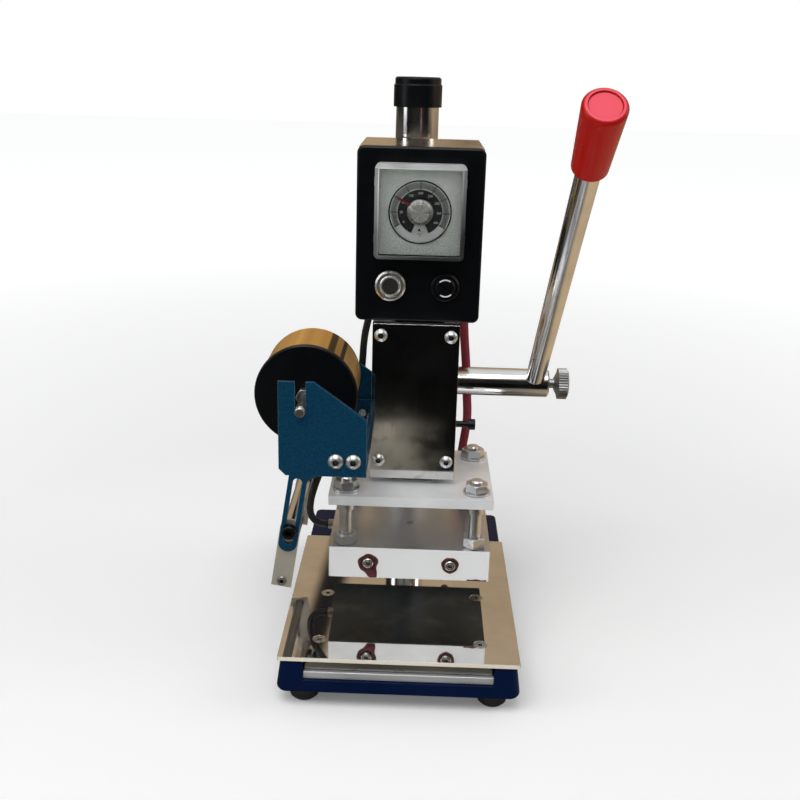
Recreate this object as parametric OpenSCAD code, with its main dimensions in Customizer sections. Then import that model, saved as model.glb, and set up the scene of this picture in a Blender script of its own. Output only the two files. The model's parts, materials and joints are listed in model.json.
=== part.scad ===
// Hot foil stamping machine: a lever press with a heated block, a sliding table and a foil roll holder.
// Millimetres. +X is the operator's right, +Y is the back, +Z is up, the floor is Z = 0.

/* [Base and feet] */
// Width of the base at its top
base_w = 138; // [130:1:170]
// Length of the base, front to back
base_len = 215; // [205:1:250]
// Height of the base
base_h = 20; // [18:0.5:28]
// Outward slope of the base's sides, from top to bottom
base_draft = 2.5; // [0.5:0.1:4]
// Radius of the base's upright corners
base_r = 4; // [2:0.5:8]
// Height of a rubber foot
foot_h = 10; // [8:0.5:24]
// Diameter of a rubber foot at the base
foot_d = 21; // [18:0.5:25]
// Distance from a foot's centre to the base's sides
foot_inset = 13; // [12.5:0.5:20]

/* [Table and slide] */
// Width of the mirror table plate
table_w = 141; // [130:1:160]
// Length of the mirror table plate
table_len = 163; // [150:1:163]
// Thickness of the mirror table plate
table_t = 2.5; // [2:0.1:5]
// Travel of the table towards the operator
table_travel = 50; // [20:1:50]
// Width of the moving carriage
carriage_w = 109.6; // [104:0.2:112]
// Length of the moving carriage
carriage_len = 100; // [95:1:120]
// Height of the moving carriage
carriage_h = 7.6; // [7:0.1:10]
// Height of the fixed rail under the carriage
rail_h = 4.6; // [4:0.1:8]
// Length of the keel that runs in the rail
keel_len = 36; // [24:1:40]
// Width of the keel's neck in the rail's slot
keel_neck = 10; // [8:0.5:14]
// Width of the keel's head under the rail
keel_head = 19; // [17:0.5:24]
// Height of the keel's head
keel_head_h = 3.4; // [2.5:0.1:3.6]
// Sideways distance between the table's screws
table_screw_x = 96; // [80:1:98]
// Lengthwise distance between the table's screws
table_screw_y = 57; // [40:1:60]
// Head diameter of the table's countersunk screws
table_screw_head = 8; // [6:0.2:9]
// Shank diameter of the table's countersunk screws
table_screw_d = 4; // [3:0.2:4.5]

/* [Column] */
// Diameter of the column
column_d = 28; // [24:1:32]
// Distance from the column's axis to the back of the base
column_back = 34; // [32:1:44]
// Height of the column above the control box
column_rise = 33.8; // [25:0.2:60]
// Depth of the column's socket in the base
column_socket = 8; // [5:0.5:9]
// Diameter of the bolt that holds the column
column_bolt_d = 12; // [8:1:12]
// Height of the column's plastic cap
cap_h = 18.6; // [12:0.2:22]
// Wall of the column's plastic cap
cap_wall = 1.7; // [1.2:0.1:3]
// Thickness of the cap's top
cap_top = 3; // [2:0.2:5]

/* [Head] */
// Width of the head and of its cover plate
head_w = 52; // [50:0.5:60]
// Height of the head and of its cover plate
head_h = 98.2; // [92:0.2:120]
// Sideways set of the head on its column
head_x = 4; // [0:0.5:5]
// Distance from the column's axis to the ram's axis
throat = 86.5; // [85:0.5:95]
// Gap between the head and the ram's plate when the ram is up
head_gap = 3.8; // [2:0.2:8]
// Thickness of the cover plate
cover_t = 6.9; // [4:0.1:9]
// Wall behind the column in the clamp
clamp_wall = 16; // [16:0.5:18]
// Width of the clamp's slit
clamp_slit = 2; // [1.5:0.1:3]
// Diameter of the clamp's screws
clamp_screw_d = 8; // [6:1:8]
// Distance from a clamp screw to the head's top or bottom
clamp_screw_in = 22; // [14:1:26]
// Head diameter of the cover plate's screws
cover_screw_head = 8; // [6:0.2:9]
// Shank diameter of the cover plate's screws
cover_screw_d = 4; // [3:0.2:4.6]
// Distance from the cover plate's screws to its sides
cover_screw_in = 5.1; // [4.6:0.1:5.2]
// Distance from the upper screws to the cover plate's top
cover_screw_top = 7.2; // [5:0.2:14]
// Distance from the lower screws to the cover plate's bottom
cover_screw_low = 11.6; // [5:0.2:20]

/* [Ram and rack] */
// Width and depth of the square ram
ram_w = 25; // [22:0.5:26]
// Gap between the ram's top and the head's top when the ram is up
ram_top_gap = 4; // [2:0.5:10]
// Module of the rack and pinion
tooth_module = 1.5; // [1.25:0.25:1.75]
// Teeth of the pinion
pinion_teeth = 20; // [18:1:21]
// Width of the pinion's teeth
pinion_w = 22; // [16:0.5:22]
// Play between the teeth on each flank
tooth_play = 0.1; // [0.08:0.02:0.2]
// Thickness of the brass gib strip
gib_t = 4; // [3:0.2:4.4]
// Diameter of the gib's adjusting screw
gib_screw_d = 4; // [3:0.5:5]
// Distance that the gib's screw stands out of the head
gib_screw_out = 8; // [3:0.5:12]
// Height of the gib's screw above the head's bottom
gib_screw_up = 30; // [12:0.5:32]

/* [Heat block and plate] */
// Width of the heat block and of the ram's plate
block_w = 100; // [90:1:110]
// Depth of the heat block
block_d = 78; // [76:1:80]
// Height of the heat block
block_h = 20.3; // [18:0.1:30]
// Gap between the heat block and the table when the ram is up
work_gap = 23.2; // [23.2:0.2:40]
// Gap between the heat block and the ram's plate
post_gap = 29.5; // [24:0.5:40]
// Depth of the ram's plate
plate_d = 84; // [80:1:86]
// Thickness of the ram's plate
plate_t = 6; // [5:0.2:10]
// Sideways distance between the posts
post_x = 80; // [74:1:82]
// Front to back distance between the posts
post_y = 60; // [55:1:62]
// Diameter of the posts
post_d = 8; // [6:0.5:8]
// Distance across the flats of the posts' nuts
nut_af = 13; // [12:0.5:14]
// Height of the posts' nuts
nut_h = 6.5; // [5:0.1:8]
// Depth of the posts' holes in the block
post_in = 9; // [6:0.5:12]
// Diameter of the heater cartridges
heater_d = 10; // [8:0.5:12]
// Sideways distance between the heaters
heater_x = 50.8; // [40:0.2:56]
// Diameter of the bolt between the ram and its plate
ram_bolt_d = 8; // [6:0.5:10]

/* [Lever] */
// Diameter of the pinion shaft
shaft_d = 18; // [16:0.5:20]
// Height of the pinion shaft above the head's bottom
shaft_up = 50.8; // [46:0.2:56]
// Distance that the shaft stands out of the head
shaft_out = 60; // [50:1:80]
// Distance from the shaft's end to the lever
lever_in = 9; // [8:0.5:14]
// Diameter of the lever rod
rod_d = 12; // [11:0.5:14]
// Length of the lever from the shaft's axis
lever_len = 262; // [200:1:264]
// Lean of the lever towards the operator, from upright
lever_lean = 46.5; // [35:0.5:50]
// Length of the grip
grip_len = 42; // [36:1:90]
// Diameter of the grip at its outer end
grip_d = 20.5; // [20:0.5:22]
// Diameter of the grip at its inner end
grip_neck = 17.5; // [16:0.5:20]
// Diameter of the lock screw's knurled head
knurl_d = 20; // [16:0.5:24]
// Length of the lock screw's knurled head
knurl_len = 9; // [6:0.5:12]
// Diameter of the lock screw's thread
lock_d = 6; // [4:0.5:6]
// Gap between the shaft and the lock screw's head
lock_gap = 3.6; // [1:0.2:6]

/* [Control box] */
// Overhang of the control box beyond the head on each side
box_over = 11; // [10.6:0.2:16]
// Height of the control box
box_h = 102; // [96:0.2:120]
// Gap between the control box and the column
box_gap = 2; // [1:0.5:6]
// Thickness of the plastic front panel
panel_t = 6; // [4:0.5:7]
// Corner radius of the front panel
panel_r = 4; // [2.5:0.5:6]
// Rounding of the front panel's front edge
panel_edge = 1.6; // [0.8:0.2:2]
// Thickness of the housing's sheet
sheet_t = 1.2; // [0.8:0.1:2]
// Width and height of the thermostat's cut-out
thermo_cut = 45; // [40:0.5:46]
// Width of the thermostat's face
thermo_w = 48; // [47:0.5:50]
// Height of the thermostat's face
thermo_h = 50; // [47:0.5:52]
// Depth of the thermostat's case behind the panel
thermo_depth = 58; // [40:1:70]
// Distance from the thermostat's centre to the box's top
thermo_down = 36.4; // [33:0.2:38]
// Diameter of the dial's raised rim
dial_d = 36.6; // [30:0.2:44]
// Diameter of the thermostat's knob
knob_d = 14.6; // [12:0.2:20]
// Height of the thermostat's knob
knob_h = 5.6; // [4:0.2:5.8]
// Depth of the clear cover over the thermostat
clear_depth = 10; // [9.8:0.2:14]
// Wall of the clear cover
clear_t = 1.2; // [0.8:0.1:1.6]
// Margin of the clear cover around the thermostat's face
clear_margin = 2.1; // [1.8:0.1:4]
// How far the clear cover sits above the dial's middle
clear_rise = 0.5; // [0:0.1:0.5]
// Sideways distance from the box's middle to the button and the fuse
button_x = 16.3; // [14:0.1:20]
// Height of the button and the fuse above the box's bottom
button_up = 21.6; // [18:0.2:24]
// Diameter of the button's metal bezel
button_d = 18.2; // [16:0.2:20]
// Diameter of the button
button_cap_d = 12.8; // [10:0.2:13]
// Travel of the button
button_travel = 2.5; // [1.5:0.1:3]
// Diameter of the fuse holder's flange
fuse_d = 17; // [15:0.5:19]
// Diameter of the fuse holder's cap
fuse_cap_d = 11.8; // [9:0.2:12]

/* [Foil holder] */
// Thickness of the foil holder's sheet
holder_t = 2; // [1.5:0.1:2.5]
// Distance from the cover plate's front to the front holder plate
holder_reach = 46; // [40:0.5:50]
// Clear width between the front and rear holder plates
holder_in = 90; // [86:0.5:92]
// Width of a holder plate
holder_w = 50.5; // [46:0.5:56]
// Height of a holder plate above its lower edge
holder_h = 56.4; // [50:0.2:62]
// Height of a holder plate's lower edge above the head's bottom
holder_up = 18.2; // [17:0.2:24]
// Width of a holder plate's top edge
holder_top = 20.4; // [19:0.2:26]
// Height of a holder plate's right edge
holder_side = 34.6; // [30:0.2:40]
// Distance from the roll's axle to the head's side
axle_in = 37.8; // [37.4:0.2:40]
// Height of the roll's axle above the plate's lower edge
axle_up = 39.4; // [36:0.2:44]
// Diameter of the roll's axle
axle_d = 6; // [5:0.5:7]
// Width of a holder plate's slotted arm
arm_w = 11; // [10:0.5:13]
// Length of a holder plate's slotted arm
arm_len = 49; // [46:0.5:52]
// Slant of the arms from upright
arm_slant = 8.7; // [4:0.1:12]
// Distance from the head's side to the arm's root
arm_in = 39; // [38:0.5:42]
// Distance from the arm's root to the guide bolt
guide_down = 35; // [32:0.5:38]
// Diameter of the guide bolt
guide_bolt_d = 5; // [5:0.5:6]
// Diameter of the guide roller
guide_d = 9; // [9:0.5:12]
// Distance from the guide bolt to the lower rod
rod_down = 34.6; // [28:0.2:38]
// Diameter of the lower rod
foil_rod_d = 6; // [5:0.5:7]
// Head diameter of the holder's screws
holder_screw_head = 9.2; // [7:0.1:9.4]
// Shank diameter of the holder's screws
holder_screw_d = 5; // [4:0.5:5]
// Radius of the wound foil
foil_r = 29.5; // [24:0.5:29.5]
// Width of the wound foil
foil_w = 43; // [20:1:44]
// Distance from the front holder plate to the front disc
disc_in = 26; // [18:1:30]
// Radius of the front disc
disc_r = 30.6; // [30:0.1:30.8]
// Radius of the rear disc
rear_disc_r = 22; // [16:0.5:28]
// Outer radius of the cardboard core
core_r = 14; // [12:0.5:16]
// Wall of the cardboard core
core_t = 2; // [1:0.2:3]

/* [Leads] */
// Diameter of the sleeved heater lead
heater_lead_d = 5.8; // [5:0.2:6]
// Diameter of the sensor lead
sensor_lead_d = 4.6; // [4:0.2:4.6]

/* [Fits] */
// Radial clearance of a turning or sliding round fit
run_fit = 0.05; // [0.02:0.01:0.08]
// Radial clearance of a seated round fit
seat_fit = 0.02; // [0.01:0.01:0.05]
// Clearance of flat sliding faces
slide_fit = 0.15; // [0.1:0.05:0.3]
// Gap that keeps parts of different bodies apart
near_gap = 0.3; // [0.3:0.1:0.6]

/* [Hidden] */
$fn = 48;

// Heights, from the floor up
base_z = foot_h;
base_top = base_z + base_h;
slide_gap = 0.3;
table_lift = 0.5;
channel_depth = rail_h + slide_gap + carriage_h - table_lift;
rail_z = base_top - channel_depth;
carriage_z = rail_z + rail_h + slide_gap;
table_z = carriage_z + carriage_h;
table_top = table_z + table_t;
block_z = table_top + work_gap;
block_top = block_z + block_h;
plate_z = block_top + post_gap;
plate_top = plate_z + plate_t;
head_z = plate_top + head_gap;
head_top = head_z + head_h;
shaft_z = head_z + shaft_up;
box_top = head_top + box_h;
column_z = base_top - column_socket;
column_top = box_top + column_rise;
holder_z = head_z + holder_up;
axle_z = holder_z + axle_up;

// Places from front to back; the table's front edge is at 0
front_gap = 1;
column_y = front_gap + base_len - column_back;
ram_y = column_y - throat;
ram_front = ram_y - ram_w / 2;
ram_back = ram_y + ram_w / 2;
cover_back = ram_front - slide_fit;
cover_front = cover_back - cover_t;
head_back = column_y + column_d / 2 + clamp_wall;
pitch_r = tooth_module * pinion_teeth / 2;
shaft_y = ram_back - tooth_module + pitch_r;
box_front = cover_back;
box_back = column_y - column_d / 2 - box_gap;
panel_back = box_front + panel_t;
holder_y = cover_front - holder_reach;
rear_y = holder_y + holder_t + holder_in;
block_front = ram_y - block_d / 2 + 0.5;
block_back = block_front + block_d;
heater_z = block_z + block_h / 2;

// Places from left to right
head_left = head_x - head_w / 2;
head_right = head_x + head_w / 2;
box_w = head_w + 2 * box_over;
ram_right = head_x + ram_w / 2;
shaft_end = head_right + shaft_out;
lever_x = shaft_end - lever_in;
lock_end = shaft_end + lock_gap + knurl_len;
axle_x = head_left - axle_in;
thermo_z = box_top - thermo_down;
button_z = head_top + button_up;

// Rack and pinion
tooth_pitch = PI * tooth_module;
pressure = 20;
tip_r = pitch_r + tooth_module;
root_r = pitch_r - 1.25 * tooth_module;
bore_r = tip_r + 1.5;
ram_len = head_top - ram_top_gap - plate_top;

// The origin is under the middle of the whole machine
rim_r = 2;
grip_back = (lever_len - rim_r) * sin(lever_lean) + (grip_d / 2 - rim_r) * cos(lever_lean) + rim_r;
lever_front = shaft_y - grip_back;
mid_x = (axle_x - disc_r + lock_end) / 2;
mid_y = (lever_front + front_gap + base_len + base_draft / 2) / 2;

// Small hardware
cap_head_h = clamp_screw_d;
cap_head_d = clamp_screw_d * 1.6;
rail_w = carriage_w + 1.4;
channel_w = rail_w + 0.4;
rail_front = 2;
carriage_front = rail_front + 2.4;
slot_front = 16;
channel_end = front_gap + table_len + 2;
keel_y = slot_front + table_travel + near_gap;
grommet_wall = 1;
grommet_lip = 0.4;
housing_inset = 0.8;
ring_pocket = 3;
spring_wire = 2;
spring_turns = 2.6;
spring_pitch = 2.6;
spring_r = shaft_d / 2 + near_gap + spring_wire / 2;
spring_len = spring_turns * spring_pitch + spring_wire;
heater_out = 9;
plug_len = 9;
probe_d = 5;
probe_out = 4.8;
probe_in = (block_w - heater_x) / 2 - heater_d / 2 - 1.6;

// Ends of the two leads: in the middle of the box's overhang, and on the block
over_mid = (box_over - housing_inset - sheet_t) / 2;
heater_start = [head_right + over_mid, ram_y + plate_d / 2 + 4.5, head_top];
heater_end = [head_x + heater_x / 2, block_back + heater_out, heater_z];
sensor_start = [head_left - over_mid, ram_y + 33.5, head_top];
sensor_end = [head_x - block_w / 2 - probe_out, ram_y + 16.5, heater_z];

// Route points of the leads, counted from their upper and lower ends
heater_upper = [[0, 0, 4], [0, 0, -6], [1, 0, -22], [3, 0, -42], [4.5, 0, -62], [5.5, 1, -80]];
heater_lower = [
  [9.4, 5, 50], [7.8, 13, 33], [4.8, 18.4, 17.4], [2.6, 17.4, 8.4], [0.8, 11.4, 2], [0, 4.6, 0], [0, 0.4, 0]
];
sensor_upper = [[0, 0, 4], [0, 0, -6], [-3, 1, -22], [-4.4, 2, -42], [-5.4, 2, -60]];
sensor_lower = [
  [12.8, 18, 70], [2.8, 14.2, 55], [-3.8, 7.6, 41], [-8.2, 3.2, 29.6], [-11, 1, 20.6], [-12.2, 0.2, 13.8],
  [-12.2, 0, 8.6], [-10.9, 0, 4.5], [-8, 0, 1.4], [-4.3, 0, 0.1], [-0.4, 0, 0]
];
heater_route = concat([for (p = heater_upper) heater_start + p], [for (p = heater_lower) heater_end + p]);
sensor_route = concat([for (p = sensor_upper) sensor_start + p], [for (p = sensor_lower) sensor_end + p]);

// Moves a part from the machine's own axes to the origin
module place() {
  translate([-mid_x, -mid_y, 0])
    children();
}

// A part drawn along +Z, laid along +X or +Y from a point
module along_x(at) {
  translate(at)
    rotate([0, 90, 0])
      children();
}

module along_y(at) {
  translate(at)
    rotate([-90, 0, 0])
      children();
}

module rounded_rect(w, d, r) {
  square([w - 2 * r, d], center = true);
  square([w, d - 2 * r], center = true);
  for (x = [-1, 1], y = [-1, 1])
    translate([x * (w / 2 - r), y * (d / 2 - r)])
      circle(r);
}

// A bar across X with rounded long edges
module round_bar(w, d, h, r) {
  rotate([90, 0, 90])
    linear_extrude(w)
      translate([d / 2, h / 2])
        rounded_rect(d, h, r);
}

// An upright plate with rounded corners: w along X, h along Z, from y over a depth t
module upright_plate(w, h, r, t) {
  rotate([90, 0, 180])
    linear_extrude(t)
      rounded_rect(w, h, r);
}

// A round-headed screw with a hex socket: seat at z = 0, head above, shank below
module button_screw(head_d, shank_d, shank_len) {
  head_h = head_d * 0.3;
  dome_r = (head_d * head_d / 4 + head_h * head_h) / (2 * head_h);
  difference() {
    union() {
      rotate_extrude()
        intersection() {
          translate([0, head_h - dome_r])
            circle(dome_r, $fn = 96);
          square([head_d / 2, head_h]);
        }
      translate([0, 0, -shank_len])
        cylinder(d = shank_d, h = shank_len + head_h / 4);
    }
    translate([0, 0, head_h * 0.35])
      cylinder(d = head_d * 0.42, h = head_h, $fn = 6);
  }
}

// A cylinder-headed screw with a hex socket: seat at z = 0, head above, shank below
module cap_screw(head_d, head_h, shank_d, shank_len) {
  edge = head_d * 0.06;
  difference() {
    union() {
      rotate_extrude()
        polygon([[0, 0], [head_d / 2, 0], [head_d / 2, head_h - edge], [head_d / 2 - edge, head_h],
          [0, head_h]]);
      translate([0, 0, -shank_len])
        cylinder(d = shank_d, h = shank_len + head_h / 4);
    }
    translate([0, 0, head_h * 0.45])
      cylinder(d = head_d * 0.56, h = head_h, $fn = 6);
  }
}

// A countersunk screw with a hex socket, its flat head flush with z = 0
module countersunk_screw(head_d, shank_d, len) {
  sink = (head_d - shank_d) / 2;
  difference() {
    rotate_extrude()
      polygon([[0, 0], [head_d / 2, 0], [shank_d / 2, -sink], [shank_d / 2, -len], [0, -len]]);
    translate([0, 0, -1.2])
      cylinder(d = shank_d * 0.7, h = 2, $fn = 6);
  }
}

// The hole for a countersunk screw, down from z = 0
module countersunk_hole(head_d, shank_d, len) {
  sink = (head_d - shank_d) / 2;
  play = 0.15;
  translate([0, 0, -len])
    cylinder(d = shank_d + 2 * play, h = len + 1);
  translate([0, 0, -sink])
    cylinder(d1 = shank_d + 2 * play, d2 = head_d + 2 * play + 2, h = sink + 1);
}

// A hex nut with turned-off corners, standing on z = 0
module hex_nut(af, h, bore, flange_d = 0) {
  corner = af / cos(30) / 2;
  edge = corner - af / 2 * 0.98;
  difference() {
    union() {
      intersection() {
        cylinder(r = corner, h = h, $fn = 6);
        rotate_extrude()
          polygon([[0, 0], [corner - edge, 0], [corner, edge * 0.6], [corner, h - edge * 0.6],
            [corner - edge, h], [0, h]]);
      }
      if (flange_d > 0)
        cylinder(d = flange_d, h = 1.4);
    }
    translate([0, 0, -1])
      cylinder(d = bore, h = h + 2);
  }
}

// Smooth curve through route points, a few steps to each span
function spline(a, b, c, d, t) =
  0.5 * (2 * b + (c - a) * t + (2 * a - 5 * b + 4 * c - d) * t * t + (3 * b - a - 3 * c + d) * t * t * t);
function smooth(p, steps) = [
  for (i = [0:len(p) - 2], k = [0:steps - 1])
    spline(p[max(i - 1, 0)], p[i], p[i + 1], p[min(i + 2, len(p) - 1)], k / steps),
  p[len(p) - 1]
];
function unit(v) = v / norm(v);
function heading(p, i) = unit(p[min(i + 1, len(p) - 1)] - p[max(i - 1, 0)]);
function across(n, t) = unit(n - (n * t) * t);
function sides(p, i, n) =
  i == len(p) ? [] : let (m = across(n, heading(p, i))) concat([m], sides(p, i + 1, m));

// A round tube swept along a path
module tube(path, r, facets) {
  rings = len(path);
  first = sides(path, 0, abs(heading(path, 0) * [1, 0, 0]) > 0.9 ? [0, 1, 0] : [1, 0, 0]);
  points = [
    for (i = [0:rings - 1], k = [0:facets - 1])
      let (a = 360 * k / facets, n = first[i], b = cross(heading(path, i), n))
        path[i] + r * (cos(a) * n + sin(a) * b)
  ];
  walls = [
    for (i = [0:rings - 2], k = [0:facets - 1])
      let (a = i * facets + k, b = i * facets + (k + 1) % facets)
        each [[a, a + facets, b], [b, a + facets, b + facets]]
  ];
  start = [for (k = [1:facets - 2]) [0, k, k + 1]];
  last = (rings - 1) * facets;
  finish = [for (k = [1:facets - 2]) [last, last + k + 1, last + k]];
  polyhedron(points, concat(walls, start, finish));
}

// The base: a painted plate with a channel for the slide and a socket for the column
module base() {
  relief_h = keel_head_h + 0.6;
  color("#16305c")
    place()
      difference() {
        translate([0, front_gap + base_len / 2, base_z])
          hull()
            for (step = base_steps())
              translate([0, 0, step[0]])
                linear_extrude(0.01)
                  rounded_rect(base_w + 2 * step[1], base_len + step[1], base_r + step[1], $fn = 32);
        translate([-channel_w / 2, -1, rail_z])
          cube([channel_w, channel_end + 1, base_h]);
        translate([-keel_head / 2 - near_gap, slot_front, rail_z - relief_h])
          cube([keel_head + 2 * near_gap, keel_y + keel_len + near_gap - slot_front, base_h]);
        translate([0, column_y, column_z])
          cylinder(d = column_d + 2 * seat_fit, h = base_h);
        translate([0, column_y, base_z - 1])
          cylinder(d = column_bolt_d + 1, h = base_h);
        translate([0, column_y, base_z - 1])
          cylinder(d = column_bolt_d * 2, h = 1 + bolt_head_h());
        for (x = [-1, 1], y = foot_rows())
          translate([x * (base_w / 2 - foot_inset), y, base_z - 1])
            cylinder(d = foot_stem_d, h = foot_stem_h + 1.5);
        for (x = rail_screw_columns(), y = rail_screw_rows())
          translate([x, y, rail_z - 4.2])
            cylinder(d = 4 + 2 * seat_fit, h = base_h);
      }
}

// The base's height and spread at its rounded bottom edge, its draft and its top edge
function base_steps() = [
  for (a = [0:30:90]) [base_edge * (1 - sin(a)), base_draft - base_edge * (1 - cos(a))],
  [base_h - 0.61, 0],
  [base_h - 0.01, -0.5]
];
base_edge = 2;
foot_stem_d = 8;
foot_stem_h = 5;
function foot_rows() = [front_gap + foot_inset, front_gap + base_len - foot_inset];
function bolt_head_h() = column_bolt_d * 0.6;

// Four tapered rubber feet with push-in stems and hollow undersides
module rubber_feet() {
  low_r = foot_d / 2 - 2;
  edge = 1.5;
  color("#1b1b1c")
    place()
      for (x = [-1, 1], y = foot_rows())
        translate([x * (base_w / 2 - foot_inset), y, 0])
          rotate_extrude()
            polygon([[4, 0], [low_r - edge, 0], [low_r, edge], [foot_d / 2, foot_h],
              [foot_stem_d / 2 - seat_fit, foot_h], [foot_stem_d / 2 - seat_fit, foot_h + foot_stem_h],
              [0, foot_h + foot_stem_h], [0, foot_h / 2], [4, foot_h / 2 - 1]]);
}

// The fixed aluminium rail with a slot for the keel's neck and four countersunk screw holes
module slide_rail() {
  rail_end = keel_y + keel_len + near_gap;
  rail_len = channel_end - rail_front - 1;
  color("#c9cdd2")
    place()
      difference() {
        translate([-rail_w / 2, rail_front, rail_z])
          round_bar(rail_w, rail_len, rail_h, 0.6);
        translate([-keel_neck / 2 - slide_fit, slot_front, rail_z - 1])
          cube([keel_neck + 2 * slide_fit, rail_end - slot_front, rail_h + 2]);
        for (x = rail_screw_columns(), y = rail_screw_rows())
          translate([x, y, rail_z + rail_h])
            countersunk_hole(8, 4, rail_h + 1);
      }
}

function rail_screw_columns() = [-rail_w * 0.36, rail_w * 0.36];
function rail_screw_rows() = [rail_front + 24, channel_end - 24];

// The chromed column
module column() {
  edge = 1;
  color("#d7d9dc")
    place()
      difference() {
        translate([0, column_y, column_z])
          rotate_extrude()
            polygon([[0, 0], [column_d / 2, 0], [column_d / 2, column_top - column_z - edge],
              [column_d / 2 - edge, column_top - column_z], [0, column_top - column_z]]);
        translate([0, column_y, column_z - 1])
          cylinder(d = column_bolt_d + 2 * seat_fit, h = 31);
      }
}

// The slip-on plastic cap of the column
module column_cap() {
  inner = column_d / 2 + seat_fit;
  outer = inner + cap_wall;
  step = 0.7;
  step_h = 5;
  edge = 1;
  low = cap_top - cap_h;
  color("#17181a")
    place()
      translate([0, column_y, column_top])
        rotate_extrude()
          polygon([[inner, low], [outer, low], [outer, cap_top - step_h],
            [outer - step, cap_top - step_h + step],
            [outer - step, cap_top - edge], [outer - step - edge, cap_top], [0, cap_top], [0, 0],
            [inner, 0]]);
}

// The hex bolt that holds the column from below
module column_bolt() {
  head_h = bolt_head_h() - 0.6;
  color("#8d9096")
    place()
      translate([0, column_y, base_z + bolt_head_h() - head_h]) {
        cylinder(d = column_bolt_d * 1.8, h = head_h, $fn = 6);
        cylinder(d = column_bolt_d, h = column_z + 26 - base_z - bolt_head_h() + head_h);
      }
}

// The head: a machined block with the ram's groove, the pinion's bore and a split column clamp
module head_block() {
  groove_left = head_x - ram_w / 2 - slide_fit;
  groove_right = ram_right + gib_t + 2 * slide_fit;
  color("#b9bdc2")
    place()
      difference() {
        translate([head_left, cover_back, head_z])
          cube([head_w, head_back - cover_back, head_h]);
        translate([groove_left, cover_back - 1, head_z - 1])
          cube([groove_right - groove_left, ram_back + near_gap - cover_back + 1, head_h + 2]);
        along_x([pinion_left() - 1, shaft_y, shaft_z])
          cylinder(r = bore_r, h = head_right - pinion_left() + 2);
        along_x([head_left - 1, shaft_y, shaft_z])
          cylinder(r = left_bush_r() + seat_fit, h = head_w / 2);
        translate([0, column_y, head_z - 1])
          cylinder(d = column_d + 2 * seat_fit, h = head_h + 2);
        translate([-clamp_slit / 2, column_y, head_z - 1])
          cube([clamp_slit, head_back, head_h + 2]);
        for (z = clamp_rows()) {
          along_x([head_left + 4, clamp_y(), z])
            cylinder(d = clamp_screw_d + 2 * seat_fit, h = head_w);
          along_x([head_right - cap_head_h, clamp_y(), z])
            cylinder(d = cap_head_d + 0.8, h = cap_head_h + 1);
        }
        for (x = cover_columns(), z = cover_rows())
          along_y([x, cover_back - 1, z])
            cylinder(d = cover_screw_d + 2 * seat_fit, h = 16);
        along_x([ram_right, ram_y, head_z + gib_screw_up])
          cylinder(d = gib_screw_d + 2 * seat_fit, h = head_w);
        for (y = web_screw_rows())
          along_x([head_left - 1, y, web_screw_z()])
            cylinder(d = holder_screw_d + 2 * seat_fit, h = 13);
        for (x = box_screw_columns())
          translate([x, box_screw_y(), head_top - 12])
            cylinder(d = 5 + 2 * seat_fit, h = 13);
      }
}

function pinion_left() = head_x - pinion_w / 2;
function pinion_right() = head_x + pinion_w / 2;
function left_bush_r() = shaft_d / 2 + 4;
function clamp_rows() = [head_z + clamp_screw_in, head_top - clamp_screw_in];
function clamp_y() = column_y + column_d / 2 + clamp_wall / 2;
function cover_columns() = [head_left + cover_screw_in, head_right - cover_screw_in];
function cover_rows() = [head_z + cover_screw_low, head_top - cover_screw_top];
function web_screw_rows() = [ram_y, ram_y + 15];
function web_screw_z() = holder_z + 8;
function box_screw_columns() = [head_left + 7, head_right - 7];
function box_screw_y() = column_y - column_d / 2 - 12;

// Two socket screws that close the column clamp
module clamp_screws() {
  reach = head_w - cap_head_h - 5;
  color("#2a2b2e")
    place()
      for (z = clamp_rows())
        along_x([head_right - cap_head_h, clamp_y(), z])
          cap_screw(cap_head_d, cap_head_h, clamp_screw_d, reach);
}

// The polished cover plate that closes the ram's groove
module cover_plate() {
  color("#c3c6ca")
    place()
      difference() {
        translate([head_left, cover_front, head_z])
          cube([head_w, cover_t, head_h]);
        for (x = cover_columns(), z = cover_rows())
          along_y([x, cover_front - 1, z])
            cylinder(d = cover_screw_d + 0.2, h = cover_t + 2);
      }
}

// The cover plate's four screws
module cover_screws() {
  color("#d4d6d9")
    place()
      for (x = cover_columns(), z = cover_rows())
        translate([x, cover_front, z])
          rotate([90, 0, 0])
            button_screw(cover_screw_head, cover_screw_d, cover_t + 10);
}

// The brass strip that takes up the ram's side play
module gib_strip() {
  margin = 2;
  color("#b98f3e")
    place()
      translate([ram_right + slide_fit, ram_front + slide_fit, head_z + margin])
        cube([gib_t, ram_w - 2 * slide_fit, head_h - 2 * margin]);
}

// The gib's adjusting screw on the head's right side
module gib_screw() {
  head_d = gib_screw_d * 1.75;
  reach = head_right + gib_screw_out - ram_right - gib_t - slide_fit;
  color("#1c1c1e")
    place()
      along_x([head_right + gib_screw_out, ram_y, head_z + gib_screw_up])
        cap_screw(head_d, gib_screw_d * 1.2, gib_screw_d, reach);
}

// Bronze bushes for the pinion shaft
module shaft_bushes() {
  right_len = head_right - pinion_right() - spring_len - 2 * near_gap;
  color("#a9793f")
    place() {
      difference() {
        along_x([head_right - right_len, shaft_y, shaft_z])
          cylinder(r = bore_r - seat_fit, h = right_len);
        along_x([head_right - right_len - 1, shaft_y, shaft_z])
          cylinder(d = shaft_d + 2 * run_fit, h = right_len + 2);
      }
      difference() {
        along_x([head_left + ring_pocket, shaft_y, shaft_z])
          cylinder(r = left_bush_r(), h = pinion_left() - near_gap - head_left - ring_pocket);
        along_x([head_left - 1, shaft_y, shaft_z])
          cylinder(d = shaft_d + 2 * run_fit, h = head_w);
      }
    }
}

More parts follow.
